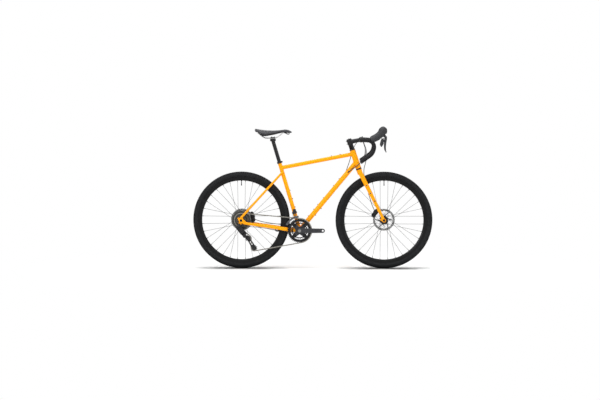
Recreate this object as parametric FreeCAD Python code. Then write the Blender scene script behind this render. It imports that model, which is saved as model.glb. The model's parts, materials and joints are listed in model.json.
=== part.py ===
import FreeCAD, Part
import math
import os

os.makedirs("parts", exist_ok=True)
vec = FreeCAD.Vector

# A gravel bike in millimetres: +X forward, +Y to the rider's left, +Z up, ground at Z 0,
# origin on the ground midway between the axles. The chain is on the right, at negative Y.

# Layout
wheelbase = 1046.0
tyre_radius = 355.5
chainstay_length = 435.0
bottom_bracket_drop = 75.0
seat_angle = 73.3
head_angle = 71.5
fork_offset = 57.0
fork_length = 410.0  # axle to crown race along the steering axis

# Fits
running_fit = 0.05  # radial, a shaft in its bore
weld_gap = 0.15  # between a mitred tube and the tube that it meets
clearance = 0.4  # between faces that pass each other

# Frame tubes
tube_wall = 1.2
head_tube_diameter = 42.0
head_tube_length = 137.0
head_tube_bore = 34.4
top_tube_diameter = 28.6
top_tube_below_head_top = 27.0
top_tube_on_seat_tube = 478.0
down_tube_diameter = 35.0
down_tube_below_head_top = 90.0
seat_tube_diameter = 28.6
seat_tube_length = 524.0
shell_diameter = 40.0
shell_width = 68.0
shell_bore = 34.0
seatstay_diameter = 16.0
seatstay_on_seat_tube = 438.0
seatstay_rise = 22.0  # lower end above the axle
bridge_diameter = 12.0
chainstay_end_forward = 34.0  # rear end of the stay, ahead of the axle
chainstay_end_below = 22.0
rear_spacing = 142.0
front_spacing = 100.0
dropout_thickness = 7.0
boss_radius = 5.0
boss_height = 1.6
boss_bolt_radius = 4.2
boss_bolt_height = 3.0
boss_pitch = 64.0

# Bearings, post and collar
steerer_diameter = 28.6
upper_cup_height = 10.0
lower_cup_height = 11.0
shell_cup_width = 10.0
shell_cup_radius = 21.0
spindle_diameter = 24.0
post_diameter = 27.2
post_insertion = 130.0
post_length_shown = 160.0
collar_height = 14.0
collar_wall = 3.4

# Wheels
tyre_section = 45.0
tyre_wall = 2.8
rim_outer_radius = 317.0
rim_depth = 28.0
rim_width = 28.0
rim_wall = 1.7
spoke_count = 32
spoke_diameter = 2.0
spoke_crossing = 67.5  # degrees from a rim hole to its hub hole
nipple_diameter = 4.0
nipple_length = 15.0
flange_radius = 30.0
flange_hole_radius = 27.0
flange_thickness = 3.0
flange_foot = 21.0  # radius where a flange widens into the hub's core
hub_core_radius = 11.0
bearing_radius = 12.0
bearing_width = 8.0
axle_diameter = 12.0
valve_diameter = 6.0
valve_length = 42.0

# Brakes
rotor_diameter = 160.0
rotor_thickness = 1.8
rotor_band = 15.0
rotor_boss_radius = 17.0
front_rotor_y = 40.0
rear_rotor_y = 55.5
pad_gap = 0.4

# Drive
chain_pitch = 12.7
outer_ring_teeth = 44
inner_ring_teeth = 30
cassette_teeth = (11, 13, 15, 17, 19, 21, 23, 25, 28, 32, 36)
driven_cog = 7  # place in the list of the cog that the chain runs on
first_cog_y = -65.0
cog_pitch = 3.74
outer_ring_y = -50.4
inner_ring_y = -43.4
tooth_thickness = 1.6
pulley_teeth = 11
crank_length = 170.0
crank_face_y = 75.5
crank_thickness = 13.5
straight_chain = 38.0  # run beside a wheel before the chain moves sideways

# Bar and stem
spacer_stack = 35.0
stem_clamp_height = 40.0
stem_length = 85.0
stem_rise = 11.5
bar_clamp_diameter = 31.8
bar_diameter = 23.8
tape_thickness = 3.0
bar_top_half_width = 195.0
tape_start = 85.0

# Fork
blade_length_to_side = 38.0  # blade centre from the centre plane, at the crown
crown_height = 36.0
tyre_room = 7.0

side = vec(0, 1, 0)


def unit(angle):
    """Direction in the centre plane, measured from +X towards +Z, in degrees."""
    return vec(math.cos(math.radians(angle)), 0, math.sin(math.radians(angle)))


rear_axle = vec(-wheelbase / 2, 0, tyre_radius)
front_axle = vec(wheelbase / 2, 0, tyre_radius)
crank_axis = rear_axle + vec(
    math.sqrt(chainstay_length ** 2 - bottom_bracket_drop ** 2), 0, -bottom_bracket_drop
)
seat_up = unit(180 - seat_angle)
steer_up = unit(180 - head_angle)
steer_forward = unit(90 - head_angle)
steer_foot = front_axle - steer_forward * fork_offset
head_bottom_along = fork_length + lower_cup_height
head_top_along = head_bottom_along + head_tube_length


def on_steer(along, forward=0.0, left=0.0):
    return steer_foot + steer_up * along + steer_forward * forward + side * left


def on_seat(along, forward=0.0, left=0.0):
    return crank_axis + seat_up * along + seat_up.cross(side) * -forward + side * left


def moved(point, y):
    return vec(point.x, y, point.z)


def around(center, radius, angle, y):
    """Point on a circle about the Y axis, the angle in degrees clockwise from the top."""
    turn = math.radians(angle)
    return vec(center.x + radius * math.sin(turn), y, center.z + radius * math.cos(turn))


def rod(start, end, radius):
    return Part.makeCylinder(radius, (end - start).Length, start, end - start)


def pipe(start, end, outer, inner):
    return rod(start, end, outer).cut(rod(start, end, inner))


def disc(center, y_from, y_to, radius):
    return rod(moved(center, y_from), moved(center, y_to), radius)


def ring(center, y_from, y_to, outer, inner):
    return disc(center, y_from, y_to, outer).cut(disc(center, y_from, y_to, inner))


def fused(shapes):
    return shapes[0].multiFuse(shapes[1:]).removeSplitter()


def mirrored(shape):
    return shape.mirror(vec(0, 0, 0), side)


def slab(points, y_from, y_to):
    """Plate whose straight-sided outline lies in the XZ plane."""
    corners = [vec(x, y_from, z) for x, z in points]
    return Part.Face(Part.makePolygon(corners + corners[:1])).extrude(side * (y_to - y_from))


def block(corner, opposite):
    low = vec(min(corner.x, opposite.x), min(corner.y, opposite.y), min(corner.z, opposite.z))
    size = corner - opposite
    return Part.makeBox(abs(size.x), abs(size.y), abs(size.z), low)


def link_plate(p, q, p_radius, q_radius, y_from, y_to):
    """Plate in the XZ plane: two round ends joined by their tangents."""
    span = math.hypot(q.x - p.x, q.z - p.z)
    heading = math.atan2(q.z - p.z, q.x - p.x)
    spread = math.acos((p_radius - q_radius) / span)

    def on_end(center, radius, angle):
        return vec(center.x + radius * math.cos(angle), y_from, center.z + radius * math.sin(angle))

    p_left = on_end(p, p_radius, heading + spread)
    p_right = on_end(p, p_radius, heading - spread)
    q_left = on_end(q, q_radius, heading + spread)
    q_right = on_end(q, q_radius, heading - spread)
    edges = [
        Part.LineSegment(p_left, q_left),
        Part.Arc(q_left, on_end(q, q_radius, heading), q_right),
        Part.LineSegment(q_right, p_right),
        Part.Arc(p_right, on_end(p, p_radius, heading + math.pi), p_left),
    ]
    outline = Part.Wire([edge.toShape() for edge in edges])
    return Part.Face(outline).extrude(side * (y_to - y_from))


def turned(center, outline):
    """Solid turned about the Y axis through a centre, from (y, radius) corners."""
    corners = [vec(center.x + radius, y, center.z) for y, radius in outline]
    face = Part.Face(Part.makePolygon(corners + corners[:1]))
    return face.revolve(center, side, 360)


def bent_path(points, radii):
    """Straight runs joined by tangent arcs."""
    edges = []
    start = points[0]
    for corner, after, radius in zip(points[1:-1], points[2:], radii):
        back = (start - corner).normalize()
        ahead = (after - corner).normalize()
        turn = math.pi - back.getAngle(ahead)
        reach = radius * math.tan(turn / 2)
        enter = corner + back * reach
        leave = corner + ahead * reach
        bisector = (back + ahead).normalize()
        middle = corner + bisector * (radius / math.cos(turn / 2) - radius)
        edges.append(Part.LineSegment(start, enter).toShape())
        edges.append(Part.Arc(enter, middle, leave).toShape())
        start = leave
    edges.append(Part.LineSegment(start, points[-1]).toShape())
    return Part.Wire(edges)


def easy_radii(points):
    """Largest even bends that the runs of a hose leave room for."""
    radii = []
    for before, corner, after in zip(points, points[1:], points[2:]):
        turn = math.pi - (before - corner).getAngle(after - corner)
        shorter = min((before - corner).Length, (after - corner).Length)
        radii.append(0.45 * shorter / math.tan(turn / 2))
    return radii


def swept(path, radius):
    start = path.Edges[0]
    place = start.valueAt(start.FirstParameter)
    heading = start.tangentAt(start.FirstParameter)
    circle = Part.Wire([Part.Circle(place, heading, radius).toShape()])
    return path.makePipeShell([circle], True, False)


def hose(name, points, diameter):
    radii = easy_radii(points)
    path = bent_path(points, radii)
    solid = swept(path, diameter / 2)
    share = solid.Volume / (math.pi * diameter ** 2 / 4 * path.Length)
    print(name, "bends", [round(radius) for radius in radii], "length", round(path.Length),
          "volume share", round(share, 4))
    return solid


def oval(center, across, up, half_across, half_up):
    """Closed oval section with its seam always on the across side."""
    normal = across.cross(up)
    place = FreeCAD.Matrix(
        across.x * half_across, up.x * half_up, normal.x, center.x,
        across.y * half_across, up.y * half_up, normal.y, center.y,
        across.z * half_across, up.z * half_up, normal.z, center.z,
        0, 0, 0, 1,
    )
    return Part.Wire([Part.Circle().toShape()]).transformGeometry(place)


def save(name, shapes):
    solids = []
    for shape in shapes:
        solids.extend(shape.Solids)
    Part.makeCompound(solids).exportStep("parts/" + name + ".step")
    print(name, len(solids), "solids", all(solid.isValid() for solid in solids))


# Wheels

rim_inner_radius = rim_outer_radius - rim_depth
section_radius = tyre_section / 2
section_center = tyre_radius - section_radius
bead_half_width = rim_width / 2 - rim_wall - clearance
bead_seat_radius = rim_outer_radius - 6.6
rim_edge_gap = 0.8
rotor_radius = rotor_diameter / 2
axle_radius = axle_diameter / 2
axle_bore = axle_radius + running_fit
spoke_step = 360.0 / (spoke_count // 2)


def tyre(axle):
    """Casing with its tread and beads, open on the rim side."""
    shoulder = rim_outer_radius + rim_edge_gap
    outer_y = math.sqrt(section_radius ** 2 - (section_center - shoulder) ** 2)
    inner_radius = section_radius - tyre_wall
    inner_y = bead_half_width - tyre_wall / 2
    inner_r = section_center - math.sqrt(inner_radius ** 2 - inner_y ** 2)

    def at(y, radius):
        return vec(axle.x + radius, y, axle.z)

    def line(a, b):
        return Part.LineSegment(at(*a), at(*b)).toShape()

    edges = [
        Part.Arc(at(-outer_y, shoulder), at(0, tyre_radius), at(outer_y, shoulder)).toShape(),
        line((outer_y, shoulder), (bead_half_width, shoulder)),
        line((bead_half_width, shoulder), (bead_half_width, bead_seat_radius)),
        line((bead_half_width, bead_seat_radius), (inner_y, bead_seat_radius)),
        line((inner_y, bead_seat_radius), (inner_y, inner_r)),
        Part.Arc(at(inner_y, inner_r), at(0, section_center + inner_radius), at(-inner_y, inner_r)).toShape(),
        line((-inner_y, inner_r), (-inner_y, bead_seat_radius)),
        line((-inner_y, bead_seat_radius), (-bead_half_width, bead_seat_radius)),
        line((-bead_half_width, bead_seat_radius), (-bead_half_width, shoulder)),
        line((-bead_half_width, shoulder), (-outer_y, shoulder)),
    ]
    return Part.Face(Part.Wire(edges)).revolve(axle, side, 360)


def inner_tube(axle):
    """Air tube in the tyre, and its valve through the rim at the top."""
    tube_radius = section_radius - tyre_wall - clearance
    outside = Part.makeTorus(section_center, tube_radius, axle, side)
    inside = Part.makeTorus(section_center, tube_radius - 1, axle, side)
    valve_foot = section_center - tube_radius + 0.5
    valve_end = valve_foot - 20 - valve_length
    stem = rod(around(axle, valve_foot, 0, 0), around(axle, valve_end, 0, 0), valve_diameter / 2)
    return [outside.cut(inside), stem.cut(outside)]


def rim(axle, spokes):
    half = rim_width / 2
    floor = bead_seat_radius - 3
    hook = half - rim_wall
    outside = turned(axle, [
        (-half, rim_outer_radius), (-hook, rim_outer_radius), (-hook, bead_seat_radius - 0.3), (-8, floor),
        (8, floor), (hook, bead_seat_radius - 0.3), (hook, rim_outer_radius), (half, rim_outer_radius),
        (half - 1.5, rim_inner_radius + 12), (6.5, rim_inner_radius + 0.7), (0, rim_inner_radius),
        (-6.5, rim_inner_radius + 0.7), (1.5 - half, rim_inner_radius + 12),
    ])
    chamber = turned(axle, [
        (-7.5, floor - 2), (7.5, floor - 2), (half - 4, rim_inner_radius + 13), (6, rim_inner_radius + 3),
        (0, rim_inner_radius + 2.6), (-6, rim_inner_radius + 3), (4 - half, rim_inner_radius + 13),
    ])
    holes = []
    for hub_end, rim_end in spokes:
        nipple_foot = rim_end + (hub_end - rim_end).normalize() * nipple_length
        holes.append(rod(nipple_foot, rim_end, nipple_diameter / 2 + 0.2))
    valve_from = around(axle, rim_inner_radius - 5, 0, 0)
    holes.append(rod(valve_from, around(axle, rim_outer_radius, 0, 0), valve_diameter / 2 + 0.2))
    return outside.cut(chamber).cut(Part.makeCompound(holes))


def spoke_lines(axle, right_flange, left_flange):
    """Ends of every spoke: hub hole to rim hole, three cross on both flanges."""
    stand_off = flange_thickness / 2 + spoke_diameter / 2 + 0.9
    lines = []
    for count in range(spoke_count // 2):
        lead = 1 if count % 2 == 0 else -1
        for flange_y, start, turn in ((right_flange, spoke_step / 4, 1), (left_flange, -spoke_step / 4, -1)):
            rim_angle = start + count * spoke_step
            hub_angle = rim_angle + turn * lead * spoke_crossing
            hub_end = around(axle, flange_hole_radius, hub_angle, flange_y + lead * stand_off)
            rim_end = around(axle, rim_inner_radius + 5, rim_angle, math.copysign(2, flange_y))
            lines.append((hub_end, rim_end))
    return lines


def spoke_set(axle, lines, right_flange, left_flange):
    solids = []
    for hub_end, rim_end in lines:
        nipple_foot = rim_end + (hub_end - rim_end).normalize() * nipple_length
        flange_y = min((right_flange, left_flange), key=lambda y: abs(hub_end.y - y))
        inward = math.copysign(1, flange_y - hub_end.y)
        elbow = rod(hub_end, hub_end + side * inward * (flange_thickness + 3.4), spoke_diameter / 2)
        head = disc(hub_end, flange_y + inward * 1.6, flange_y + inward * 3, spoke_diameter * 0.95)
        solids.append(fused([rod(hub_end, nipple_foot, spoke_diameter / 2), elbow, head]))
        solids.append(rod(nipple_foot, rim_end, nipple_diameter / 2))
    return solids


def hub(axle, right_end, left_end, right_flange, left_flange, lines):
    half = flange_thickness / 2
    shell = turned(axle, [
        (right_end, bearing_radius), (right_end, bearing_radius + 3),
        (right_flange - half, bearing_radius + 3),
        (right_flange - half, flange_radius), (right_flange + half, flange_radius),
        (right_flange + half, flange_foot), (right_flange + half + 5, hub_core_radius + 2),
        (left_flange - half - 5, hub_core_radius + 2), (left_flange - half, flange_foot),
        (left_flange - half, flange_radius), (left_flange + half, flange_radius),
        (left_flange + half, rotor_boss_radius), (left_end, rotor_boss_radius), (left_end, bearing_radius),
        (left_end - bearing_width, bearing_radius), (left_end - bearing_width, bearing_radius - 3),
        (right_end + bearing_width, bearing_radius - 3), (right_end + bearing_width, bearing_radius),
    ])
    reach = flange_thickness * 4
    holes = [rod(end - side * reach, end + side * reach, spoke_diameter / 2 + 0.3) for end, far in lines]
    shell = shell.cut(Part.makeCompound(holes))
    bearings = [
        ring(axle, right_end, right_end + bearing_width, bearing_radius - running_fit, axle_bore),
        ring(axle, left_end - bearing_width, left_end, bearing_radius - running_fit, axle_bore),
    ]
    return [shell] + bearings


def rotor(axle, y):
    """Slotted brake disc on its carrier, held by a lock ring."""
    y_from = y - rotor_thickness / 2
    y_to = y + rotor_thickness / 2
    band_inner = rotor_radius - rotor_band
    carrier = rotor_boss_radius + 9
    pieces = [ring(axle, y_from, y_to, rotor_radius, band_inner)]
    pieces.append(ring(axle, y_from, y_to, carrier, rotor_boss_radius + running_fit))
    for arm in range(6):
        root = around(axle, carrier - 3, arm * 60, 0)
        tip = around(axle, band_inner + 4, arm * 60 + 34, 0)
        pieces.append(link_plate(root, tip, 4.5, 3.2, y_from, y_to))
    plate = fused(pieces)
    holes = []
    for hole in range(48):
        radius = band_inner + 4 + (hole % 3) * 3.6
        holes.append(disc(around(axle, radius, hole * 7.5, 0), y_from - 1, y_to + 1, 1.7))
    lock = ring(axle, y_to, y_to + 3.5, rotor_boss_radius + 4, rotor_boss_radius + running_fit)
    return [plate.cut(Part.makeCompound(holes)), lock]


def wheel(name, axle, right_end, left_end, right_flange, left_flange, rotor_y):
    lines = spoke_lines(axle, right_flange, left_flange)
    save(name + "_tyre", [tyre(axle)] + inner_tube(axle))
    save(name + "_rim", [rim(axle, lines)])
    save(name + "_spokes", spoke_set(axle, lines, right_flange, left_flange))
    save(name + "_hub", hub(axle, right_end, left_end, right_flange, left_flange, lines))
    save(name + "_rotor", rotor(axle, rotor_y))


end_cap = 5.7
front_hub_end = front_spacing / 2 - end_cap - 0.3
rear_hub_left = rear_spacing / 2 - end_cap
freehub_inner_y = first_cog_y + (len(cassette_teeth) - 1) * cog_pitch + 1.6
rear_hub_right = freehub_inner_y + 1.0
wheel("front", front_axle, -front_hub_end, front_hub_end, -34, 22, front_rotor_y)
wheel("rear", rear_axle, rear_hub_right, rear_hub_left, rear_hub_right + 5, 33, rear_rotor_y)


def thru_axle(axle, spacing, right_cap, left_cap, plate):
    """Axle with a head on the right and an end cap between each dropout and its hub."""
    half = spacing / 2
    shaft = disc(axle, -half - plate - 3, half + plate, axle_radius)
    head = ring(axle, -half - plate - 3, -half - plate, axle_radius + 3, axle_radius - 2.5)
    shaft = shaft.cut(disc(axle, -half - plate - 3, -half - plate + 4, 3))
    caps = [
        ring(axle, -half, right_cap - clearance, axle_radius + 3.5, axle_bore),
        ring(axle, left_cap + clearance, half, axle_radius + 3.5, axle_bore),
    ]
    return [fused([shaft, head.cut(disc(axle, -half - plate - 4, -half - plate + 5, 3))])] + caps


front_shaft = thru_axle(front_axle, front_spacing, -front_hub_end, front_hub_end, dropout_thickness)
rear_shaft = thru_axle(rear_axle, rear_spacing, first_cog_y - 2, rear_hub_left, dropout_thickness)
save("front_thru_axle", front_shaft)
save("rear_thru_axle", rear_shaft)


# Chain route: circles in the XZ plane with the chain's turning sense, 1 clockwise seen from the right

def pitch_radius(teeth):
    return teeth * chain_pitch / (2 * math.pi)


chain_cog_y = first_cog_y + driven_cog * cog_pitch
cage_pivot = vec(-497, 0, 240) - vec(-523, 0, 355.5) + rear_axle
guide_offset = vec(25.5, 0, -16.4)
tension_offset = vec(70.9, 0, -86.1)


def cage_point(offset, swing):
    turn = FreeCAD.Rotation(side, swing)
    return cage_pivot + turn.multVec(offset)


def route_circles(swing):
    pulley = pitch_radius(pulley_teeth)
    return [
        (rear_axle, pitch_radius(cassette_teeth[driven_cog]), 1, chain_cog_y),
        (crank_axis, pitch_radius(outer_ring_teeth), 1, outer_ring_y),
        (cage_point(tension_offset, swing), pulley, 1, chain_cog_y),
        (cage_point(guide_offset, swing), pulley, -1, chain_cog_y),
    ]


def tangent_run(start, end):
    """Straight run that leaves one circle and meets the next."""
    across = end[0] - start[0]
    offset = start[1] * start[2] - end[1] * end[2]
    heading = math.atan2(across.z, across.x) - math.asin(offset / across.Length)
    left = vec(-math.sin(heading), 0, math.cos(heading))
    return start[0] + left * start[1] * start[2], end[0] + left * end[1] * end[2]


def chain_route(swing):
    """Runs and wraps in order: (length, kind, data)."""
    circles = route_circles(swing)
    runs = [tangent_run(circles[k], circles[(k + 1) % 4]) for k in range(4)]
    stretches = []
    for k in range(4):
        start, end = runs[k]
        reached = circles[(k + 1) % 4]
        stretches.append(((end - start).Length, "run", (start, end, circles[k][3], reached[3])))
        center, radius, sense, y = reached
        leave = runs[(k + 1) % 4][0] - center
        arrive = end - center
        first = math.atan2(arrive.z, arrive.x)
        last = math.atan2(leave.z, leave.x)
        wrap = (sense * (first - last)) % (2 * math.pi)
        stretches.append((wrap * radius, "wrap", (center, radius, sense, y, first)))
    return stretches


def route_length(swing):
    return sum(stretch[0] for stretch in chain_route(swing))


def solve_swing(target):
    """Cage swing at which the route has the length of a whole number of links."""
    low, high = -25.0, 25.0
    for step in range(60):
        middle = (low + high) / 2
        if (route_length(middle) - target) * (route_length(low) - target) > 0:
            low = middle
        else:
            high = middle
    return (low + high) / 2


link_count = 2 * round(route_length(0) / (2 * chain_pitch))
cage_swing = solve_swing(link_count * chain_pitch)
guide_center = cage_point(guide_offset, cage_swing)
tension_center = cage_point(tension_offset, cage_swing)


def route_point(along):
    for length, kind, data in chain_route(cage_swing):
        if along <= length:
            break
        along -= length
    if kind == "run":
        start, end, y_start, y_end = data
        share = along / length
        shift = min(max((along - straight_chain) / (length - 2 * straight_chain), 0), 1)
        return moved(start + (end - start) * share, y_start + (y_end - y_start) * shift)
    center, radius, sense, y, first = data
    angle = first - sense * along / radius
    return vec(center.x + radius * math.cos(angle), y, center.z + radius * math.sin(angle))


pins = [route_point((k + 0.25) * chain_pitch) for k in range(link_count)]


# Drive

spindle_radius = spindle_diameter / 2
tooth_root = 4.0  # below the pitch circle
tooth_tip = 3.0  # above the pitch circle
spider_from = outer_ring_y + 1.0
spider_to = inner_ring_y - 1.0
outer_bolt_circle = 55.0
inner_bolt_circle = 40.0
spider_tip = 13.0
freehub_radius = 17.0
plate_thickness = 0.85
chain_half_width = 2.9


def tooth_wheel(center, teeth, phase, y, thickness):
    radius = pitch_radius(teeth)
    corners = []
    for tooth in range(teeth):
        turn = phase + tooth * 2 * math.pi / teeth
        outward = vec(math.cos(turn), 0, math.sin(turn))
        across = vec(-math.sin(turn), 0, math.cos(turn))
        middle = moved(center, y - thickness / 2) + outward * radius
        for height, width in ((-tooth_root, -2.9), (tooth_tip, -1.2), (tooth_tip, 1.2), (-tooth_root, 2.9)):
            corners.append(middle + outward * height + across * width)
    return Part.Face(Part.makePolygon(corners + corners[:1])).extrude(side * thickness)


def tooth_phase(center, teeth):
    """Angle of a tooth midway between two chain pins on this wheel."""
    radius = pitch_radius(teeth)
    for pin in pins:
        if abs(math.hypot(pin.x - center.x, pin.z - center.z) - radius) < 0.01:
            return math.atan2(pin.z - center.z, pin.x - center.x) + math.pi / teeth
    return 0.0


def chain_plate(y_from, y_to):
    ends = [vec(-chain_pitch / 2, 0, 0), vec(chain_pitch / 2, 0, 0)]
    pieces = [link_plate(ends[0], ends[1], 3.3, 3.3, y_from, y_to)]
    for end in ends:
        pieces.append(disc(end, y_from, y_to, 4.2))
    return fused(pieces)


def outer_link():
    inside = chain_half_width - plate_thickness
    pieces = [chain_plate(inside, chain_half_width), chain_plate(-chain_half_width, -inside)]
    for x in (-chain_pitch / 2, chain_pitch / 2):
        pieces.append(disc(vec(x, 0, 0), -chain_half_width, chain_half_width, 1.75))
    return fused(pieces)


def inner_link():
    outside = chain_half_width - plate_thickness - 0.1
    inside = outside - plate_thickness
    pieces = [chain_plate(inside, outside), chain_plate(-outside, -inside)]
    bores = []
    for x in (-chain_pitch / 2, chain_pitch / 2):
        pieces.append(disc(vec(x, 0, 0), -inside, inside, 3.85))
        bores.append(disc(vec(x, 0, 0), -outside, outside, 1.9))
    return fused(pieces).cut(Part.makeCompound(bores))


def chain():
    kinds = [outer_link(), inner_link()]
    links = []
    for k in range(link_count):
        start = pins[k]
        end = pins[(k + 1) % link_count]
        along = (end - start).normalize()
        up = along.cross(side).normalize() * -1
        turn = FreeCAD.Rotation(along, up.cross(along), up, "XYZ")
        link = kinds[k % 2].copy()
        link.Placement = FreeCAD.Placement((start + end) * 0.5, turn)
        links.append(link)
    return links


save("chain", chain())

cogs = []
for place, teeth in enumerate(cassette_teeth):
    cog_y = first_cog_y + place * cog_pitch
    phase = tooth_phase(rear_axle, teeth) if place == driven_cog else 0.0
    cog = tooth_wheel(rear_axle, teeth, phase, cog_y, tooth_thickness)
    bore_from = cog_y - tooth_thickness
    cogs.append(cog.cut(disc(rear_axle, bore_from, cog_y + tooth_thickness, freehub_radius + running_fit)))
    if place:
        spacer_to = cog_y - tooth_thickness / 2
        spacer_from = cog_y - cog_pitch + tooth_thickness / 2
        spacer_bore = freehub_radius + running_fit
        cogs.append(ring(rear_axle, spacer_from, spacer_to, freehub_radius + 1.2, spacer_bore))
freehub = ring(rear_axle, first_cog_y - tooth_thickness / 2, freehub_inner_y, freehub_radius, axle_bore)
lock_ring = ring(rear_axle, first_cog_y - 2, first_cog_y - tooth_thickness / 2, freehub_radius - 1, axle_bore)
save("cassette", [freehub, lock_ring] + cogs)


def chainring(teeth, y, bolt_circle, tab_radius, opening, phase):
    """Toothed ring with four tabs that reach in to the spider's bolts."""
    y_from = y - 1
    plate = tooth_wheel(crank_axis, teeth, phase, y, 2).cut(disc(crank_axis, y_from, y + 1, opening))
    tabs = []
    holes = []
    for arm in range(4):
        bolt = around(crank_axis, bolt_circle, 45 + arm * 90, 0)
        foot = around(crank_axis, opening - 4, 45 + arm * 90, 0)
        foot_radius = pitch_radius(teeth) - tooth_root - opening + 3.8
        tabs.append(link_plate(bolt, foot, tab_radius, foot_radius, y_from, y + 1))
        holes.append(disc(bolt, y_from - 1, y + 2, 4.1))
    return fused([plate] + tabs).cut(Part.makeCompound(holes))


outer_phase = tooth_phase(crank_axis, outer_ring_teeth)
rings = [
    chainring(outer_ring_teeth, outer_ring_y, outer_bolt_circle, spider_tip, 77, outer_phase),
    chainring(inner_ring_teeth, inner_ring_y, inner_bolt_circle, 9, 50, 0.0),
]
for arm in range(4):
    outer_bolt = around(crank_axis, outer_bolt_circle, 45 + arm * 90, 0)
    inner_bolt = around(crank_axis, inner_bolt_circle, 45 + arm * 90, 0)
    rings.append(disc(outer_bolt, spider_from - 4, spider_from + 3, 4).fuse(
        disc(outer_bolt, spider_from - 4, spider_from - 2, 5.5)))
    rings.append(disc(inner_bolt, spider_to - 3, spider_to + 4, 4).fuse(
        disc(inner_bolt, spider_to + 2, spider_to + 4, 5.5)))
save("chainrings", rings)


def crank_blank(pedal, y_inner, y_outer):
    """Arm with rounded outer edges and its pedal hole."""
    arm = link_plate(crank_axis, pedal, 18.5, 15.5, y_inner, y_outer)
    rounded = []
    for edge in arm.Edges:
        if all(abs(vertex.Y - y_outer) < 0.01 for vertex in edge.Vertexes):
            rounded.append(edge)
    return arm.makeFillet(3.5, rounded)


pedal_hole_radius = 14.288 / 2
crank_inner_y = crank_face_y - crank_thickness
cup_face_y = shell_width / 2 + shell_cup_width
right_pedal = crank_axis + vec(crank_length, 0, 0)
left_pedal = crank_axis - vec(crank_length, 0, 0)
right_arm = crank_blank(right_pedal, -crank_inner_y, -crank_face_y)
right_arm = right_arm.cut(disc(right_pedal, -crank_face_y - 1, -crank_inner_y + 1, pedal_hole_radius))
spindle_boss = disc(crank_axis, -crank_inner_y, -cup_face_y - clearance, 20)
spindle = fused([spindle_boss, disc(crank_axis, -crank_inner_y, crank_inner_y + 6, spindle_radius)])
spider = []
spider_holes = [spindle_boss]
for arm in range(4):
    outer_bolt = around(crank_axis, outer_bolt_circle, 45 + arm * 90, 0)
    inner_bolt = around(crank_axis, inner_bolt_circle, 45 + arm * 90, 0)
    spider.append(link_plate(crank_axis, outer_bolt, 22, spider_tip, spider_from, spider_to))
    spider_holes.append(disc(outer_bolt, spider_from - 1, spider_from + 3.2, 4.1))
    spider_holes.append(disc(inner_bolt, spider_to - 3.2, spider_to + 1, 4.1))
spider = fused(spider)
for hole in spider_holes:
    spider = spider.cut(hole)
save("right_crank_arm", [right_arm, spindle, spider])

left_arm = fused([
    crank_blank(left_pedal, crank_inner_y, crank_face_y),
    disc(crank_axis, cup_face_y + clearance, crank_inner_y + 1, 18),
])
left_arm = left_arm.cut(disc(crank_axis, 0, crank_inner_y + 6.2, spindle_radius + 0.02))
left_arm = left_arm.cut(disc(left_pedal, crank_inner_y - 1, crank_face_y + 1, pedal_hole_radius))
pinch_bolts = []
for offset in (16, 28):
    pinch = crank_axis + vec(-offset, crank_inner_y + 4, 16)
    pinch_bolts.append(rod(pinch, pinch + vec(0, 0, 5), 3.2))
save("left_crank_arm", [left_arm] + pinch_bolts)


# Rear derailleur: a slanted parallelogram between two knuckles, worked out in its own frame,
# local X along the links, local Y along the pivots, local Z from the inner link to the outer one

hanger_bolt = rear_axle + vec(-8, 0, -29.5)
hanger_face_y = rear_spacing / 2 + dropout_thickness
hanger_bolt_radius = 4.9
upper_pivot = hanger_bolt + vec(-8, -hanger_face_y - 14, -20)
lower_pivot = cage_pivot + vec(-13, chain_cog_y - 25.2, 28)
link_along = (lower_pivot - upper_pivot).normalize()
link_span = (lower_pivot - upper_pivot).Length
pivot_along = vec(-link_along.z, 0, link_along.x).normalize()
link_frame = FreeCAD.Placement(
    upper_pivot, FreeCAD.Rotation(link_along, pivot_along, link_along.cross(pivot_along), "XYZ")
)
link_apart = 7.0  # each link from the middle of the parallelogram
link_half_width = 15.0
pivot_radius = 2.0
barrel_radius = 4.5


def in_links(shape):
    placed = shape.copy()
    placed.Placement = link_frame
    return placed


def derailleur_link(z):
    ends = [vec(0, 0, z), vec(link_span, 0, z)]
    plate = link_plate(ends[0], ends[1], barrel_radius, barrel_radius, -link_half_width, link_half_width)
    for end in ends:
        plate = plate.cut(disc(end, -link_half_width, link_half_width, pivot_radius + running_fit))
    return in_links(plate)


def knuckle_fork(x, outward, reach):
    """Two cheeks and a block that carry one end's pivot pins."""
    cheek_from = link_half_width + clearance
    cheek_to = cheek_from + 3
    half = link_apart + 5.5
    near, back, far = x - outward * 5.5, x + outward * 6.5, x + outward * reach
    outline = [(near, -half), (near, half), (far, half), (far, -half)]
    bridge = [(back, -half), (back, half), (far, half), (far, -half)]
    pieces = [slab(outline, cheek_from, cheek_to), slab(outline, -cheek_to, -cheek_from)]
    pieces.append(slab(bridge, -cheek_to, cheek_to))
    for z in (-link_apart, link_apart):
        pieces.append(disc(vec(x, 0, z), -cheek_to, cheek_to, pivot_radius))
    return in_links(fused(pieces))


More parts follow.
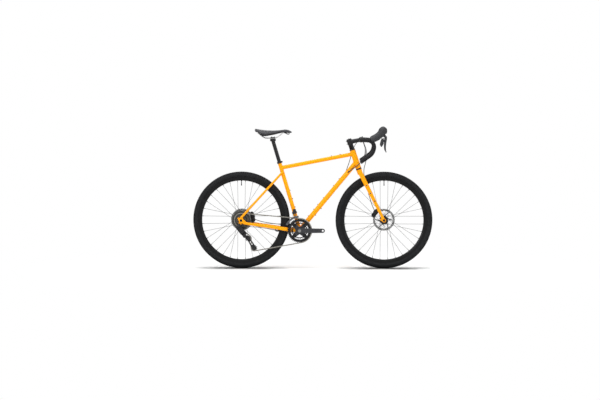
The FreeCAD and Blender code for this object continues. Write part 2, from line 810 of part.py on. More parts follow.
cage_outer_face = chain_cog_y - 6.5
knuckle_face = cage_outer_face - clearance
shaft_radius = 4.0
upper_knuckle = fused([
    knuckle_fork(0, -1, 15),
    disc(hanger_bolt, -hanger_face_y - 23, -hanger_face_y, 7),
    disc(hanger_bolt, -hanger_face_y, dropout_thickness - hanger_face_y, hanger_bolt_radius),
])
save("rear_derailleur_knuckle", [upper_knuckle])
save("rear_derailleur_outer_link", [derailleur_link(link_apart)])
hanger_room = in_links(block(vec(-6, 8, -20), vec(9, link_half_width + 1, 20)))
save("rear_derailleur_inner_link", [derailleur_link(-link_apart).cut(hanger_room)])
lower_knuckle = fused([
    knuckle_fork(link_span, 1, 24),
    disc(cage_pivot, knuckle_face - 24, knuckle_face, 13),
])
lower_knuckle = lower_knuckle.cut(
    disc(cage_pivot, knuckle_face - 20, knuckle_face + 1, shaft_radius + running_fit)
)
chain_side = block(moved(cage_pivot, knuckle_face) - vec(80, 0, 80), moved(cage_pivot, 0) + vec(80, 0, 80))
lower_knuckle = lower_knuckle.cut(chain_side)
save("rear_derailleur_pulley_knuckle", [lower_knuckle])

cage_plate = 1.5
cage_inner_face = chain_cog_y + 6.5
pulley_bore = 2.5
outer_cage = fused([
    link_plate(cage_pivot, guide_center, 12, 11, cage_outer_face, cage_outer_face + cage_plate),
    link_plate(guide_center, tension_center, 11, 10, cage_outer_face, cage_outer_face + cage_plate),
    link_plate(guide_center, tension_center, 11, 10, cage_inner_face - cage_plate, cage_inner_face),
    disc(cage_pivot, cage_outer_face - 18, cage_outer_face + 1, shaft_radius),
    disc(guide_center, cage_outer_face, cage_inner_face, pulley_bore),
    disc(tension_center, cage_outer_face, cage_inner_face, pulley_bore),
])
save("rear_derailleur_cage", [outer_cage])
for name, center in (("guide_pulley", guide_center), ("tension_pulley", tension_center)):
    toothed = tooth_wheel(center, pulley_teeth, tooth_phase(center, pulley_teeth), chain_cog_y, 1.8)
    boss = disc(center, cage_outer_face + cage_plate + clearance, cage_inner_face - cage_plate - clearance, 7)
    bore = disc(center, cage_outer_face, cage_inner_face, pulley_bore + running_fit)
    save(name, [fused([toothed, boss]).cut(bore)])


# Front derailleur: a short link swings the cage from ring to ring

fd_along = 135.0  # clamp on the seat tube above the cranks
fd_center = on_seat(fd_along)
fd_top = fd_center + vec(0, -37.5, 20)
fd_low = fd_top + vec(0, -3.5, -23.8)
fd_link_half = 8.0
seat_outer = seat_tube_diameter / 2


def x_rod(center, x_from, x_to, radius):
    return rod(center + vec(x_from, 0, 0), center + vec(x_to, 0, 0), radius)


def x_cheeks(center, low, high):
    """Pair of cheeks on both sides of the front derailleur's link."""
    inside = fd_link_half + clearance
    outside = inside + 3
    return [
        block(center + vec(inside, low[0], low[1]), center + vec(outside, high[0], high[1])),
        block(center + vec(-outside, low[0], low[1]), center + vec(-inside, high[0], high[1])),
    ]


fd_bracket = x_cheeks(fd_top, (-4.5, -5), (25, 6))
fd_bracket.append(block(fd_top + vec(-11.4, 8, -14), fd_top + vec(11.4, 25, 6)))
fd_bracket.append(x_rod(fd_top, -11.4, 11.4, pivot_radius))
fd_bracket.append(rod(on_seat(fd_along - 7), on_seat(fd_along + 7), seat_outer + 4))
fd_clamp = fused(fd_bracket).cut(rod(on_seat(0), on_seat(seat_tube_length), seat_outer + weld_gap))
save("front_derailleur_clamp", [fd_clamp])

fd_link = fused([
    x_rod(fd_top, -fd_link_half, fd_link_half, 4.2),
    x_rod(fd_low, -fd_link_half, fd_link_half, 4.2),
    block(fd_top + vec(-fd_link_half, -4.7, -22), fd_top + vec(fd_link_half, 1.2, 0)),
])
fd_link = fd_link.cut(x_rod(fd_top, -fd_link_half, fd_link_half, pivot_radius + running_fit))
fd_link = fd_link.cut(x_rod(fd_low, -fd_link_half, fd_link_half, pivot_radius + running_fit))
save("front_derailleur_link", [fd_link])

fd_ring_gap = 3.5
fd_inner_y = outer_ring_y + 8.2
fd_outer_y = outer_ring_y - 5.0
fd_plate = 1.0
fd_ring_room = pitch_radius(outer_ring_teeth) + tooth_tip + fd_ring_gap
fd_band = fd_ring_room + 13.6


def cage_band(y_from, y_to):
    """Stretch of a flat ring around the outer chainring's teeth, behind the top."""
    corners = [(crank_axis.x, crank_axis.z)]
    for angle in (-4, -35, -67):
        corner = around(crank_axis, 150, angle, 0)
        corners.append((corner.x, corner.z))
    return ring(crank_axis, y_from, y_to, fd_band, fd_ring_room).common(slab(corners, y_from, y_to))


fd_cage = [
    cage_band(fd_inner_y - fd_plate, fd_inner_y),
    cage_band(fd_outer_y, fd_outer_y + fd_plate),
    block(crank_axis + vec(-37, fd_outer_y, 101), crank_axis + vec(-25, fd_inner_y, 107)),
    block(crank_axis + vec(-99, fd_outer_y, 42), crank_axis + vec(-93, fd_inner_y, 48)),
    x_rod(fd_low, -11.4, 11.4, pivot_radius),
]
fd_cage += x_cheeks(fd_low, (-4.5, -30), (4.5, 4))
save("front_derailleur_cage", [fused(fd_cage).cut(disc(crank_axis, -80, 0, fd_ring_room))])


# Frame

head_outer = head_tube_diameter / 2
shell_outer = shell_diameter / 2
stay_radius = seatstay_diameter / 2
dropout_face_y = rear_spacing / 2
stay_end_y = dropout_face_y + dropout_thickness / 2
head_bottom = on_steer(head_bottom_along)
head_top = on_steer(head_top_along)
tube_reach = 40.0  # how far a mitre cutter runs past its tube
head_cut = rod(head_bottom - steer_up * tube_reach, head_top + steer_up * tube_reach, head_outer + weld_gap)
seat_cut = rod(on_seat(-tube_reach), on_seat(seat_tube_length + tube_reach), seat_outer + weld_gap)
shell_cut = disc(crank_axis, -shell_width, shell_width, shell_outer + weld_gap)
top_joint = on_steer(head_top_along - top_tube_below_head_top)
down_joint = on_steer(head_top_along - down_tube_below_head_top)
top_start = on_seat(top_tube_on_seat_tube)
down_up = (down_joint - crank_axis).normalize()
top_up = (top_joint - top_start).normalize()


def largest(shape):
    return max(shape.Solids, key=lambda solid: solid.Volume)


def frame_tube(start, end, diameter):
    return pipe(start, end, diameter / 2, diameter / 2 - tube_wall)


save("head_tube", [pipe(head_bottom, head_top, head_outer, head_tube_bore / 2)])
top_tube = largest(frame_tube(top_start, top_joint, top_tube_diameter).cut(seat_cut).cut(head_cut))
save("top_tube", [top_tube])
down_tube = frame_tube(crank_axis, down_joint, down_tube_diameter).cut(shell_cut).cut(head_cut)
save("down_tube", [largest(down_tube.cut(seat_cut))])
post_radius = post_diameter / 2
seat_tube = pipe(on_seat(0), on_seat(seat_tube_length), seat_outer, post_radius + running_fit).cut(shell_cut)
save("seat_tube", [largest(seat_tube)])
shell = ring(crank_axis, -shell_width / 2, shell_width / 2, shell_outer, shell_bore / 2)
save("bottom_bracket_shell", [shell])

chainstay_start = crank_axis + vec(-17.5, 0, -2.5)
chainstay_end = rear_axle + vec(chainstay_end_forward, 0, -chainstay_end_below)
seatstay_low = rear_axle + vec(3.5, stay_end_y, seatstay_rise)
seatstay_high = on_seat(seatstay_on_seat_tube + 8, 4, seat_outer + 1)
eyelet = rear_axle + vec(-18, 0, 15)
eyelet_radius = 2.1


def dropout(sign):
    """Plate that joins both stays around the axle, with an eyelet."""
    y_from = sign * dropout_face_y
    y_to = sign * (dropout_face_y + dropout_thickness)
    pieces = [
        link_plate(rear_axle, chainstay_end, 17, 10.5, y_from, y_to),
        link_plate(rear_axle, seatstay_low, 17, 9, y_from, y_to),
        link_plate(rear_axle, eyelet, 13, 6.5, y_from, y_to),
    ]
    holes = [disc(rear_axle, y_from - sign, y_to + sign, axle_radius + 0.1)]
    holes.append(disc(eyelet, y_from - sign, y_to + sign, eyelet_radius))
    if sign < 0:
        pieces.append(link_plate(rear_axle, hanger_bolt, 14, 9, y_from, y_to))
        holes.append(disc(hanger_bolt, y_from - sign, y_to + sign, hanger_bolt_radius + running_fit))
    return fused(pieces).cut(Part.makeCompound(holes))


dropouts = [dropout(-1), dropout(1)]
save("dropouts", dropouts)
dropout_cut = Part.makeCompound(dropouts)


def chainstay_loft(trim):
    """Oval stay, flattened beside the tyre and the chainrings."""
    sections = []
    for share, y, half_width, half_height in (
        (0.0, 22, 9, 15), (0.15, 34.5, 7, 14), (0.4, 47.5, 8, 12), (0.75, 63, 8, 10.5),
        (1.0, stay_end_y, 6.5, 9.5),
    ):
        center = moved(chainstay_start + (chainstay_end - chainstay_start) * share, y)
        sections.append(oval(center, side, vec(0, 0, 1), half_width - trim, half_height - trim))
    return Part.makeLoft(sections, True)


bridge_radius = bridge_diameter / 2
left_chainstay = chainstay_loft(0).cut(chainstay_loft(tube_wall))
left_chainstay = largest(left_chainstay.cut(shell_cut).cut(seat_cut).cut(dropout_cut))
chainstays = [left_chainstay, mirrored(left_chainstay)]
low_bridge_center = chainstay_start + (chainstay_end - chainstay_start) * 0.1
low_bridge = disc(low_bridge_center, -30, 30, bridge_radius)
low_bridge = largest(low_bridge.cut(chainstay_loft(0)).cut(mirrored(chainstay_loft(0))))
save("chainstays", chainstays + [low_bridge])

seatstay_bend = moved(seatstay_low + (seatstay_high - seatstay_low) * 0.82, 37)
seatstay_run = [seatstay_low, seatstay_bend, seatstay_high]
seatstay_core = [seatstay_low, seatstay_bend, seatstay_bend + (seatstay_high - seatstay_bend) * 0.7]
seatstay_full = swept(bent_path(seatstay_run, [220]), stay_radius)
left_seatstay = seatstay_full.cut(swept(bent_path(seatstay_core, [220]), stay_radius - tube_wall))
left_seatstay = largest(left_seatstay.cut(seat_cut).cut(dropout_cut).cut(chainstay_loft(0)))
bridge_center = seatstay_bend + (seatstay_high - seatstay_bend) * 0.12
high_bridge = disc(bridge_center, -40, 40, bridge_radius)
high_bridge = largest(high_bridge.cut(seatstay_full).cut(mirrored(seatstay_full)))
save("seatstays", [left_seatstay, mirrored(left_seatstay), high_bridge])


def bolt_on(foot, outward, sink):
    """Raised boss with a button-head bolt on a tube."""
    boss = rod(foot - outward * sink, foot + outward * boss_height, boss_radius)
    head_foot = foot + outward * boss_height
    head = Part.makeCone(boss_bolt_radius, boss_bolt_radius * 0.6, boss_bolt_height, head_foot, outward)
    socket = rod(head_foot + outward * (boss_bolt_height - 1.5), head_foot + outward * boss_bolt_height, 1.6)
    return [boss, head.cut(socket)]


def tube_bolts(start, along, outward, radius, distances, cutter):
    pieces = []
    for distance in distances:
        foot = start + along * distance + outward * radius
        boss, head = bolt_on(foot, outward, 4)
        pieces += [largest(boss.cut(cutter)), head]
    return pieces


down_over = down_up.cross(side)
top_over = top_up.cross(side)
seat_front = seat_up.cross(side) * -1
down_cut = rod(crank_axis, down_joint, down_tube_diameter / 2)
top_cut = rod(top_start, top_joint, top_tube_diameter / 2)
seat_bolt_cut = rod(on_seat(0), on_seat(seat_tube_length), seat_outer)
over_down = [121, 121 + boss_pitch, 231, 231 + boss_pitch, 411, 411 + boss_pitch]
bolts = tube_bolts(crank_axis, down_up, down_over, down_tube_diameter / 2, over_down, down_cut)
under_down = [159, 159 + boss_pitch]
on_seat_tube = [174, 174 + boss_pitch, 174 + 2 * boss_pitch]
bolts += tube_bolts(crank_axis, down_up, down_over * -1, down_tube_diameter / 2, under_down, down_cut)
bolts += tube_bolts(crank_axis, seat_up, seat_front, seat_outer, on_seat_tube, seat_bolt_cut)
bolts += tube_bolts(top_start, top_up, top_over, top_tube_diameter / 2, [379, 379 + boss_pitch], top_cut)
save("bottle_bolts", bolts)

collar_low = on_seat(seat_tube_length - collar_height + 2)
collar_high = on_seat(seat_tube_length + 2)
collar_outer = seat_outer + collar_wall
ear = on_seat(seat_tube_length - collar_height / 2 + 2, collar_outer + 2)
collar = fused([
    rod(collar_low, collar_high, collar_outer),
    rod(ear - seat_up * 5.5 - seat_front * 2, ear + seat_up * 5.5 - seat_front * 2, 6),
])
collar = collar.cut(seat_cut)
collar_bolt = rod(ear - side * 9, ear + side * 9, 2.6)
save("seat_collar", [largest(collar.cut(collar_bolt)), collar_bolt])

steerer_radius = steerer_diameter / 2
steerer_bore = steerer_radius + running_fit
cups = [
    pipe(head_top, on_steer(head_top_along + upper_cup_height), head_outer - 0.5, steerer_bore),
    pipe(on_steer(fork_length), head_bottom, head_outer, steerer_bore),
    ring(crank_axis, shell_width / 2, cup_face_y, shell_cup_radius, spindle_radius + running_fit),
    ring(crank_axis, -cup_face_y, -shell_width / 2, shell_cup_radius, spindle_radius + running_fit),
]
save("bearing_cups", cups)


# Fork

blade_top = on_steer(fork_length - 8, 0, blade_length_to_side)
fork_end_y = front_spacing / 2 + dropout_thickness
blade_foot = moved(front_axle, fork_end_y)
blade_along = (blade_top - blade_foot).normalize()
blade_length = (blade_top - blade_foot).Length
blade_across = blade_along.cross(side).normalize()
stem_low_along = head_top_along + upper_cup_height + spacer_stack
stem_high_along = stem_low_along + stem_clamp_height
crown_sections = [
    oval(on_steer(fork_length - clearance), side, steer_forward, 21.5, 20.5),
    oval(on_steer(fork_length - 13), side, steer_forward, 33, 20.5),
    oval(on_steer(fork_length - crown_height), side, steer_forward, blade_length_to_side + 11, 18),
]
crown = Part.makeLoft(crown_sections, True)
crown = crown.cut(disc(front_axle, -30, 30, tyre_radius + tyre_room))
steerer = pipe(on_steer(fork_length - 10), on_steer(stem_high_along - 3), steerer_radius, steerer_radius - 2)
save("fork_crown", [fused([crown, steerer])])


def blade_center(distance):
    return blade_foot + blade_along * distance


blade_sections = []
for share, half_fore, half_side in ((0.03, 9.5, 7), (0.35, 12, 8.4), (0.7, 15, 10), (1.0, 17, 11)):
    blade_sections.append(oval(blade_center(blade_length * share), side, blade_across, half_side, half_fore))
left_blade = Part.makeLoft(blade_sections, True)
fork_eyelet = front_axle + vec(-24, 0, 7)
fork_end = fused([
    disc(front_axle, front_spacing / 2, fork_end_y, 14),
    link_plate(front_axle, fork_eyelet, 12, 6, front_spacing / 2, fork_end_y),
])
left_blade = fused([left_blade, fork_end])
left_blade = left_blade.cut(disc(front_axle, 0, fork_end_y + 20, axle_radius + 0.1))
left_blade = left_blade.cut(disc(fork_eyelet, 0, fork_end_y + 20, eyelet_radius))
left_blade = left_blade.cut(disc(front_axle, 0, front_spacing / 2, 60))
left_blade = largest(left_blade.cut(crown))
save("fork_blades", [left_blade, mirrored(left_blade)])
fork_bolts = []
for distance in (159, 159 + boss_pitch, 159 + 2 * boss_pitch):
    share = distance / blade_length
    half_side = 7 + 4 * share
    boss, head = bolt_on(blade_center(distance) + side * (half_side - 0.2), side, 3)
    boss = largest(boss.cut(left_blade))
    fork_bolts += [boss, head, mirrored(boss), mirrored(head)]
save("fork_bolts", fork_bolts)


# Stem, bar and levers

stem_axis = unit(stem_rise)
stem_root = on_steer((stem_low_along + stem_high_along) / 2)
bar_center = stem_root + stem_axis * stem_length
bar_clamp_radius = bar_clamp_diameter / 2
bar_radius = bar_diameter / 2
tape_radius = bar_radius + tape_thickness
stem_half_width = 22.0
stem_shell = 5.0
split_gap = 1.2

stem_outside = bar_clamp_radius + stem_shell
bar_cut = disc(bar_center, -40, 40, bar_clamp_radius + running_fit)
steerer_cut = rod(on_steer(stem_low_along - 20), on_steer(stem_high_along + 20), steerer_radius + running_fit)
front_half = Part.makeBox(80, 80, 80, vec(0, -40, -40))
front_half.Placement = FreeCAD.Placement(
    bar_center, FreeCAD.Rotation(stem_axis, side, stem_axis.cross(side), "XYZ")
)
rear_half_cut = front_half.translated(stem_axis * -split_gap)
stem_body = fused([
    rod(on_steer(stem_low_along), on_steer(stem_high_along), steerer_radius + stem_shell),
    Part.makeCone(17, 15, stem_length, stem_root, stem_axis),
    disc(bar_center, -stem_half_width, stem_half_width, stem_outside),
])
stem_body = largest(stem_body.cut(bar_cut).cut(steerer_cut).cut(rear_half_cut))
face_plate = disc(bar_center, -stem_half_width, stem_half_width, stem_outside).cut(bar_cut).common(front_half)
stem_up = stem_axis.cross(side) * -1
stem_pieces = [stem_body, largest(face_plate)]
for left in (-14, 14):
    for high in (-1, 1):
        foot = bar_center + side * left + stem_up * high * (stem_outside - 1.5) + stem_axis * 10
        stem_pieces.append(rod(foot, foot + stem_axis * 6, 3.4))
for along in (stem_low_along + 10, stem_high_along - 10):
    pinch = on_steer(along, -steerer_radius - stem_shell - 3.4)
    stem_pieces.append(rod(pinch - side * 9, pinch + side * 9, 3.2))
for count in range(3):
    low = stem_low_along - spacer_stack * (count + 1) / 3
    high = low + spacer_stack / 3
    stem_pieces.append(pipe(on_steer(low), on_steer(high), steerer_radius + 3.5, steerer_bore))
cap_foot = on_steer(stem_high_along)
stem_pieces.append(rod(cap_foot, cap_foot + steer_up * 3.5, steerer_radius + 3.2))
stem_pieces.append(rod(cap_foot + steer_up * 3.5, cap_foot + steer_up * 6, 4))
save("stem", stem_pieces)

# Right half of the drop bar, from the clamp to the end of the drop
taper_start = 32.0
taper_end = 70.0
ramp_reach = 106.0
ramp_drop = 6.0
drop_front = 84.0
drop_depth = 98.0
end_back = -1.0
end_depth = 157.0
bar_corners = [
    bar_center + vec(0, -taper_end, 0),
    bar_center + vec(0, -bar_top_half_width, 0),
    bar_center + vec(ramp_reach, -bar_top_half_width - 18, -ramp_drop),
    bar_center + vec(drop_front, -bar_top_half_width - 30, -drop_depth),
    bar_center + vec(end_back, -bar_top_half_width - 42, -end_depth),
]
bar_bends = [30, 50, 80]
bar_path = bent_path(bar_corners, bar_bends)
right_bar = swept(bar_path, bar_radius)
right_taper = Part.makeCone(
    bar_clamp_radius, bar_radius, taper_end - taper_start, bar_center - side * taper_start, side * -1
)
bar_pieces = [disc(bar_center, -taper_start, taper_start, bar_clamp_radius)]
bar_pieces += [right_taper, mirrored(right_taper), right_bar, mirrored(right_bar)]
end_heading = (bar_corners[-1] - bar_corners[-2]).normalize()
end_plug = rod(bar_corners[-1], bar_corners[-1] + end_heading * 4, tape_radius - 0.5)
save("handlebar", [fused(bar_pieces), end_plug, mirrored(end_plug)])

tape_corners = [bar_center + vec(0, -tape_start, 0)] + bar_corners[1:]
tape_path = bent_path(tape_corners, bar_bends)
right_tape = swept(tape_path, tape_radius).cut(swept(tape_path, bar_radius + 0.1))
save("bar_tape", [right_tape, mirrored(right_tape)])

hood_y = -bar_top_half_width - 18
lever_pivot = bar_center + vec(150, hood_y, 34)
hood_line = [(72, -2), (98, 10), (126, 26), (148, 46), (161, 66), (168, 83), (171, 93)]
hood_sizes = [(16, 18), (17, 22), (17.5, 23), (17.5, 26), (17, 28), (13, 20), (6, 8)]
lever_half_width = 6.5


def hood_sections():
    centers = [bar_center + vec(x, hood_y, z) for x, z in hood_line]
    sections = []
    for place, (half_width, half_height) in enumerate(hood_sizes):
        before = centers[max(place - 1, 0)]
        after = centers[min(place + 1, len(centers) - 1)]
        heading = (after - before).normalize()
        sections.append(oval(centers[place], side, heading.cross(side) * -1, half_width, half_height))
    return sections


def near_pivot(points):
    return [(lever_pivot.x + x, lever_pivot.z + z) for x, z in points]


slot_half = lever_half_width + 1
hood = Part.makeLoft(hood_sections(), True)
slot = slab(near_pivot([(-13, -40), (70, -40), (70, 12), (-13, 12)]), hood_y - slot_half, hood_y + slot_half)
hood = largest(hood.cut(swept(tape_path, tape_radius + 0.2)).cut(slot))
pin_radius = 3.0
lever_pin = disc(lever_pivot, hood_y - 14, hood_y + 14, pin_radius)
hood = hood.cut(lever_pin)
save("lever_hoods", [hood, lever_pin, mirrored(hood), mirrored(lever_pin)])

paddle_hinge = lever_pivot + vec(16.5, 0, -40)
paddle_pin_radius = 1.5
paddle_half_height = 9.0
lever_outline = [
    (-7, 3), (0, 8), (14, 5), (28, 1), (36, -10), (36, -26), (33, -42), (30, -62), (28, -84), (29, -106),
    (33, -120), (27, -123), (22, -108), (20, -86), (21, -62), (24, -42), (24, -20), (14, -13), (0, -8),
    (-7, -4),
]
lever = slab(near_pivot(lever_outline), hood_y - lever_half_width, hood_y + lever_half_width)
tabs = []
for high in (-1, 1):
    center = paddle_hinge + vec(0, 0, high * (paddle_half_height + clearance + 2))
    tabs.append(block(center + vec(-3, -3, -2), center + vec(10, 3, 2)))
lever = fused([lever] + tabs)
hinge_reach = vec(0, 0, paddle_half_height + clearance + 3)
hinge_pin = rod(paddle_hinge - hinge_reach, paddle_hinge + hinge_reach, paddle_pin_radius)
lever = lever.cut(disc(lever_pivot, hood_y - 10, hood_y + 10, pin_radius + running_fit))
lever = largest(lever.fuse(hinge_pin))
save("right_brake_lever", [lever])
save("left_brake_lever", [mirrored(lever)])

paddle_outline = [(4, -26), (16.5, -31), (16.5, -49), (9, -66), (-2, -84), (-10, -80), (-9, -66), (-4, -46)]
barrel_height = vec(0, 0, paddle_half_height)
paddle = fused([
    slab(near_pivot(paddle_outline), hood_y - 1.5, hood_y + 1.5),
    rod(paddle_hinge - barrel_height, paddle_hinge + barrel_height, 3),
])
paddle_bore = paddle_pin_radius + running_fit
paddle = paddle.cut(rod(paddle_hinge - hinge_reach, paddle_hinge + hinge_reach, paddle_bore))
for high in (-1, 1):
    center = paddle_hinge + vec(0, 0, high * (paddle_half_height + 4))
    paddle = paddle.cut(block(center + vec(-5, -5, -4), center + vec(6, 5, 4)))
paddle = largest(paddle)
save("right_shift_paddle", [paddle])
save("left_shift_paddle", [mirrored(paddle)])


# Saddle and post

post_top_along = seat_tube_length + post_length_shown
post_top = on_seat(post_top_along)
rail_radius = 3.5
rail_z = post_top.z + 20
cradle_top = rail_z - rail_radius - 0.3
cradle = block(vec(post_top.x - 20, -27, post_top.z - 2), vec(post_top.x + 20, 27, cradle_top))
clamp_low = rail_z + rail_radius + 0.3
clamp_top = block(vec(post_top.x - 17, -27, clamp_low), vec(post_top.x + 17, 27, rail_z + 8.5))
clamp_bolts = []
for x in (-11, 11):
    foot = post_top + vec(x, 0, 0)
    clamp_bolts.append(rod(foot, vec(foot.x, 0, rail_z + 12), 3))
bolt_cut = Part.makeCompound([rod(bolt.CenterOfMass - vec(0, 0, 30), bolt.CenterOfMass + vec(0, 0, 30), 3.1)
                              for bolt in clamp_bolts])
post_low = on_seat(seat_tube_length - post_insertion)
post = pipe(post_low, on_seat(post_top_along + 4), post_radius, post_radius - 2.2)
post_head = rod(on_seat(post_top_along - 25), on_seat(post_top_along + 2), post_radius)
post = largest(fused([post, post_head, cradle]))
post = post.cut(block(vec(post_top.x - 40, -40, cradle_top), vec(post_top.x + 40, 40, cradle_top + 40)))
save("seatpost", [largest(post.cut(bolt_cut)), clamp_top.cut(bolt_cut)] + clamp_bolts)

saddle_rear = vec(post_top.x - 136, 0, post_top.z + 64)
# Stations along the saddle: distance from the tail, half width, crown height and edge height,
# both heights from the rear tip's
saddle_stations = [
    (2, 34, 27, 14), (22, 60, 24, -2), (58, 70, 17, -20), (82, 66, 14, -26), (112, 54, 13, -21),
    (150, 36, 14, -14), (190, 24, 18, -4), (226, 20, 21, -6), (258, 17, 14, -10), (278, 9, 2, -6),
]
saddle_hollow = 7.0
cover_gap = 0.3
base_thickness = 3.0


def saddle_section(station, is_base):
    """Section of the padded cover, or of the thin base under it."""
    along, half, crown, edge = station
    x = saddle_rear.x + along
    z = saddle_rear.z
    foot = half * 0.86
    hollow = min(saddle_hollow, half * 0.25)
    if is_base:
        low = edge - cover_gap - base_thickness
        outer = foot - 2
        points = [(-outer, edge - cover_gap), (0, edge + hollow - cover_gap), (outer, edge - cover_gap),
                  (outer, low), (0, low + hollow), (-outer, low)]
        at = [vec(x, y, z + height) for y, height in points]
        edges = [Part.Arc(at[0], at[1], at[2]), Part.LineSegment(at[2], at[3]),
                 Part.Arc(at[3], at[4], at[5]), Part.LineSegment(at[5], at[0])]
    else:
        shoulder = crown - min(half * 0.5, (crown - edge) * 0.6)
        points = [(-half, shoulder), (0, crown), (half, shoulder),
                  (foot, edge), (0, edge + hollow), (-foot, edge)]
        at = [vec(x, y, z + height) for y, height in points]
        edges = [Part.Arc(at[0], at[1], at[2]), Part.LineSegment(at[2], at[3]),
                 Part.Arc(at[3], at[4], at[5]), Part.LineSegment(at[5], at[0])]
    return Part.Wire([curve.toShape() for curve in edges])


cover = Part.makeLoft([saddle_section(station, False) for station in saddle_stations], True)
base = Part.makeLoft([saddle_section(station, True) for station in saddle_stations[1:-1]], True)
base = largest(base.cut(cover))
save("saddle_cover", [cover])
save("saddle_base", [base])
rail_points = [
    vec(saddle_rear.x + 26, 40, saddle_rear.z - 4), vec(saddle_rear.x + 78, 23, rail_z),
    vec(saddle_rear.x + 196, 23, rail_z), vec(saddle_rear.x + 252, 9, saddle_rear.z - 6),
]
rail = swept(bent_path(rail_points, [30, 40]), rail_radius)
left_rail = largest(rail.cut(base).cut(cover))
save("saddle_rails", [left_rail, mirrored(left_rail)])


# Brakes

pad_thickness = 3.2
caliper_ring = rotor_radius + 4.0
slot_half_width = rotor_thickness / 2 + pad_gap + pad_thickness + 0.2


def caliper(axle, y, angle, y_from, y_to, foot, foot_y, cutter):
    """Body that bridges the disc, its foot on the frame, and two pads on the disc's faces."""
    ends = [around(axle, caliper_ring, angle + turn, 0) for turn in (-17, 17)]
    middle = around(axle, caliper_ring, angle, 0)
    body = fused([
        link_plate(ends[0], ends[1], 15, 15, y_from, y_to),
        link_plate(middle, foot, 15, 9, foot_y[0], foot_y[1]),
    ])
    body = body.cut(disc(axle, y - slot_half_width, y + slot_half_width, rotor_radius + 2))
    body = largest(body.cut(disc(axle, y_from - 1, y_to + 1, rotor_radius - 17)).cut(cutter))
    pads = []
    pad_ends = [around(axle, rotor_radius - 7.5, angle + turn, 0) for turn in (-11, 11)]
    for face in (-1, 1):
        near = y + face * (rotor_thickness / 2 + pad_gap)
        pads.append(link_plate(pad_ends[0], pad_ends[1], 7, 7, near, near + face * pad_thickness))
    return body, pads


front_foot = front_axle + vec(-49, 0, 76)
front_body, front_pads = caliper(front_axle, front_rotor_y, -49, front_rotor_y - 13, front_rotor_y + 17,
                                 front_foot, (46, 58), left_blade)
save("front_caliper", [front_body])
save("front_brake_pads", front_pads)
rear_foot = rear_axle + vec(72, 0, -20)
rear_body, rear_pads = caliper(rear_axle, rear_rotor_y, 76, rear_rotor_y - 13, rear_rotor_y + 17,
                               rear_foot, (61, 73), chainstay_loft(0))
save("rear_caliper", [rear_body])
save("rear_brake_pads", rear_pads)


# Hoses and housings

hose_diameter = 5.0
housing_diameter = 4.0
front_hose = hose("front_brake_hose", [
    vec(366.9, 92, 933), vec(388, 76, 892), vec(398, 65, 842), vec(392, 60, 785), vec(374, 60, 728),
    vec(378, 61, 668), vec(392, 62, 610), vec(408, 64, 555), vec(424, 63, 500), vec(440, 56, 452),
    vec(456, 50, 418),
], hose_diameter)
save("front_brake_hose", [largest(front_hose.cut(front_body))])
down_solid = rod(crank_axis, down_joint, down_tube_diameter / 2 + weld_gap)
rear_hose_front = hose("rear_brake_hose_front", [
    vec(338.2, 92, 938), vec(316, 74, 916), vec(298, 54, 880), vec(284, 38, 838), vec(272, 30, 792),
    vec(258, 25, 750), vec(241, 9, 704),
], hose_diameter)
rear_hose_rear = hose("rear_brake_hose_rear", [
    vec(-120, 34, 315), vec(-160, 40, 318), vec(-215, 48, 318), vec(-285, 56, 324), vec(-355, 64, 334),
    vec(-405, 68, 346), vec(-432, 68, 358),
], hose_diameter)
save("rear_brake_hose", [largest(rear_hose_front.cut(down_solid)), largest(rear_hose_rear.cut(rear_body))])
front_housings = {
    "rear_shift_housing": [
        vec(367, -92, 933), vec(386, -68, 884), vec(388, -52, 834), vec(368, -38, 796), vec(332, -30, 762),
        vec(296, -28, 738), vec(263, -20, 712),
    ],
    "front_shift_housing": [
        vec(371.5, -88, 938), vec(386, -59, 884), vec(382, -43, 834), vec(363, -34, 792), vec(332, -30, 755),
        vec(296, -28, 731), vec(259, -20, 705),
    ],
}
housings = []
for name, points in front_housings.items():
    housings.append(largest(hose(name, points, housing_diameter).cut(down_solid)))
tail_housing = hose("derailleur_housing", [
    vec(-101, -25, 258.4), vec(-135, -29, 261.6), vec(-180, -36, 271), vec(-250, -46, 283),
    vec(-330, -55.4, 295.2), vec(-400, -64, 305.8), vec(-440, -78, 309), vec(-472, -89, 312),
    vec(-500, -94, 314.5), vec(-526, -94, 316.5),
], housing_diameter)
housings.append(largest(tail_housing.cut(upper_knuckle)))
save("shift_housings", housings)
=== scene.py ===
import json
import math
import bmesh
import bpy
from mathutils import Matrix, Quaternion, Vector


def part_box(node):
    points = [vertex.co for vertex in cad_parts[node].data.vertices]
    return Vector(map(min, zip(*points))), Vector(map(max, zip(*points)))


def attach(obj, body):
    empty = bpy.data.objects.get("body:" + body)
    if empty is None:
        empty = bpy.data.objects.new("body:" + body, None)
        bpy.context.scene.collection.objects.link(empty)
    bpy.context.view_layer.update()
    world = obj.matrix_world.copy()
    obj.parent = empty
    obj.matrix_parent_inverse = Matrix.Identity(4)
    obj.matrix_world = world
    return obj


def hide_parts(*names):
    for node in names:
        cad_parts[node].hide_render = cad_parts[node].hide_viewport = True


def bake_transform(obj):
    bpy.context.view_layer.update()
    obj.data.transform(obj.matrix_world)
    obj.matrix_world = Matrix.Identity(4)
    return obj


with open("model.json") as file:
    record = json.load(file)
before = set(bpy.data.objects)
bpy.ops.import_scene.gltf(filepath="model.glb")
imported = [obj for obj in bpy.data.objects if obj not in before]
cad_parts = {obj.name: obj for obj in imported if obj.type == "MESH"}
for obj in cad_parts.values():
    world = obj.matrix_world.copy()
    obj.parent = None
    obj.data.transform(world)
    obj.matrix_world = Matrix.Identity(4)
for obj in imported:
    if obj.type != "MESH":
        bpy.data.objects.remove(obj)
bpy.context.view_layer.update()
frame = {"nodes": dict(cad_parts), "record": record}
bpy.ops.object.select_all(action="DESELECT")  # the loaded nodes come in selected
print("frame loaded,", len(frame["nodes"]), "nodes")

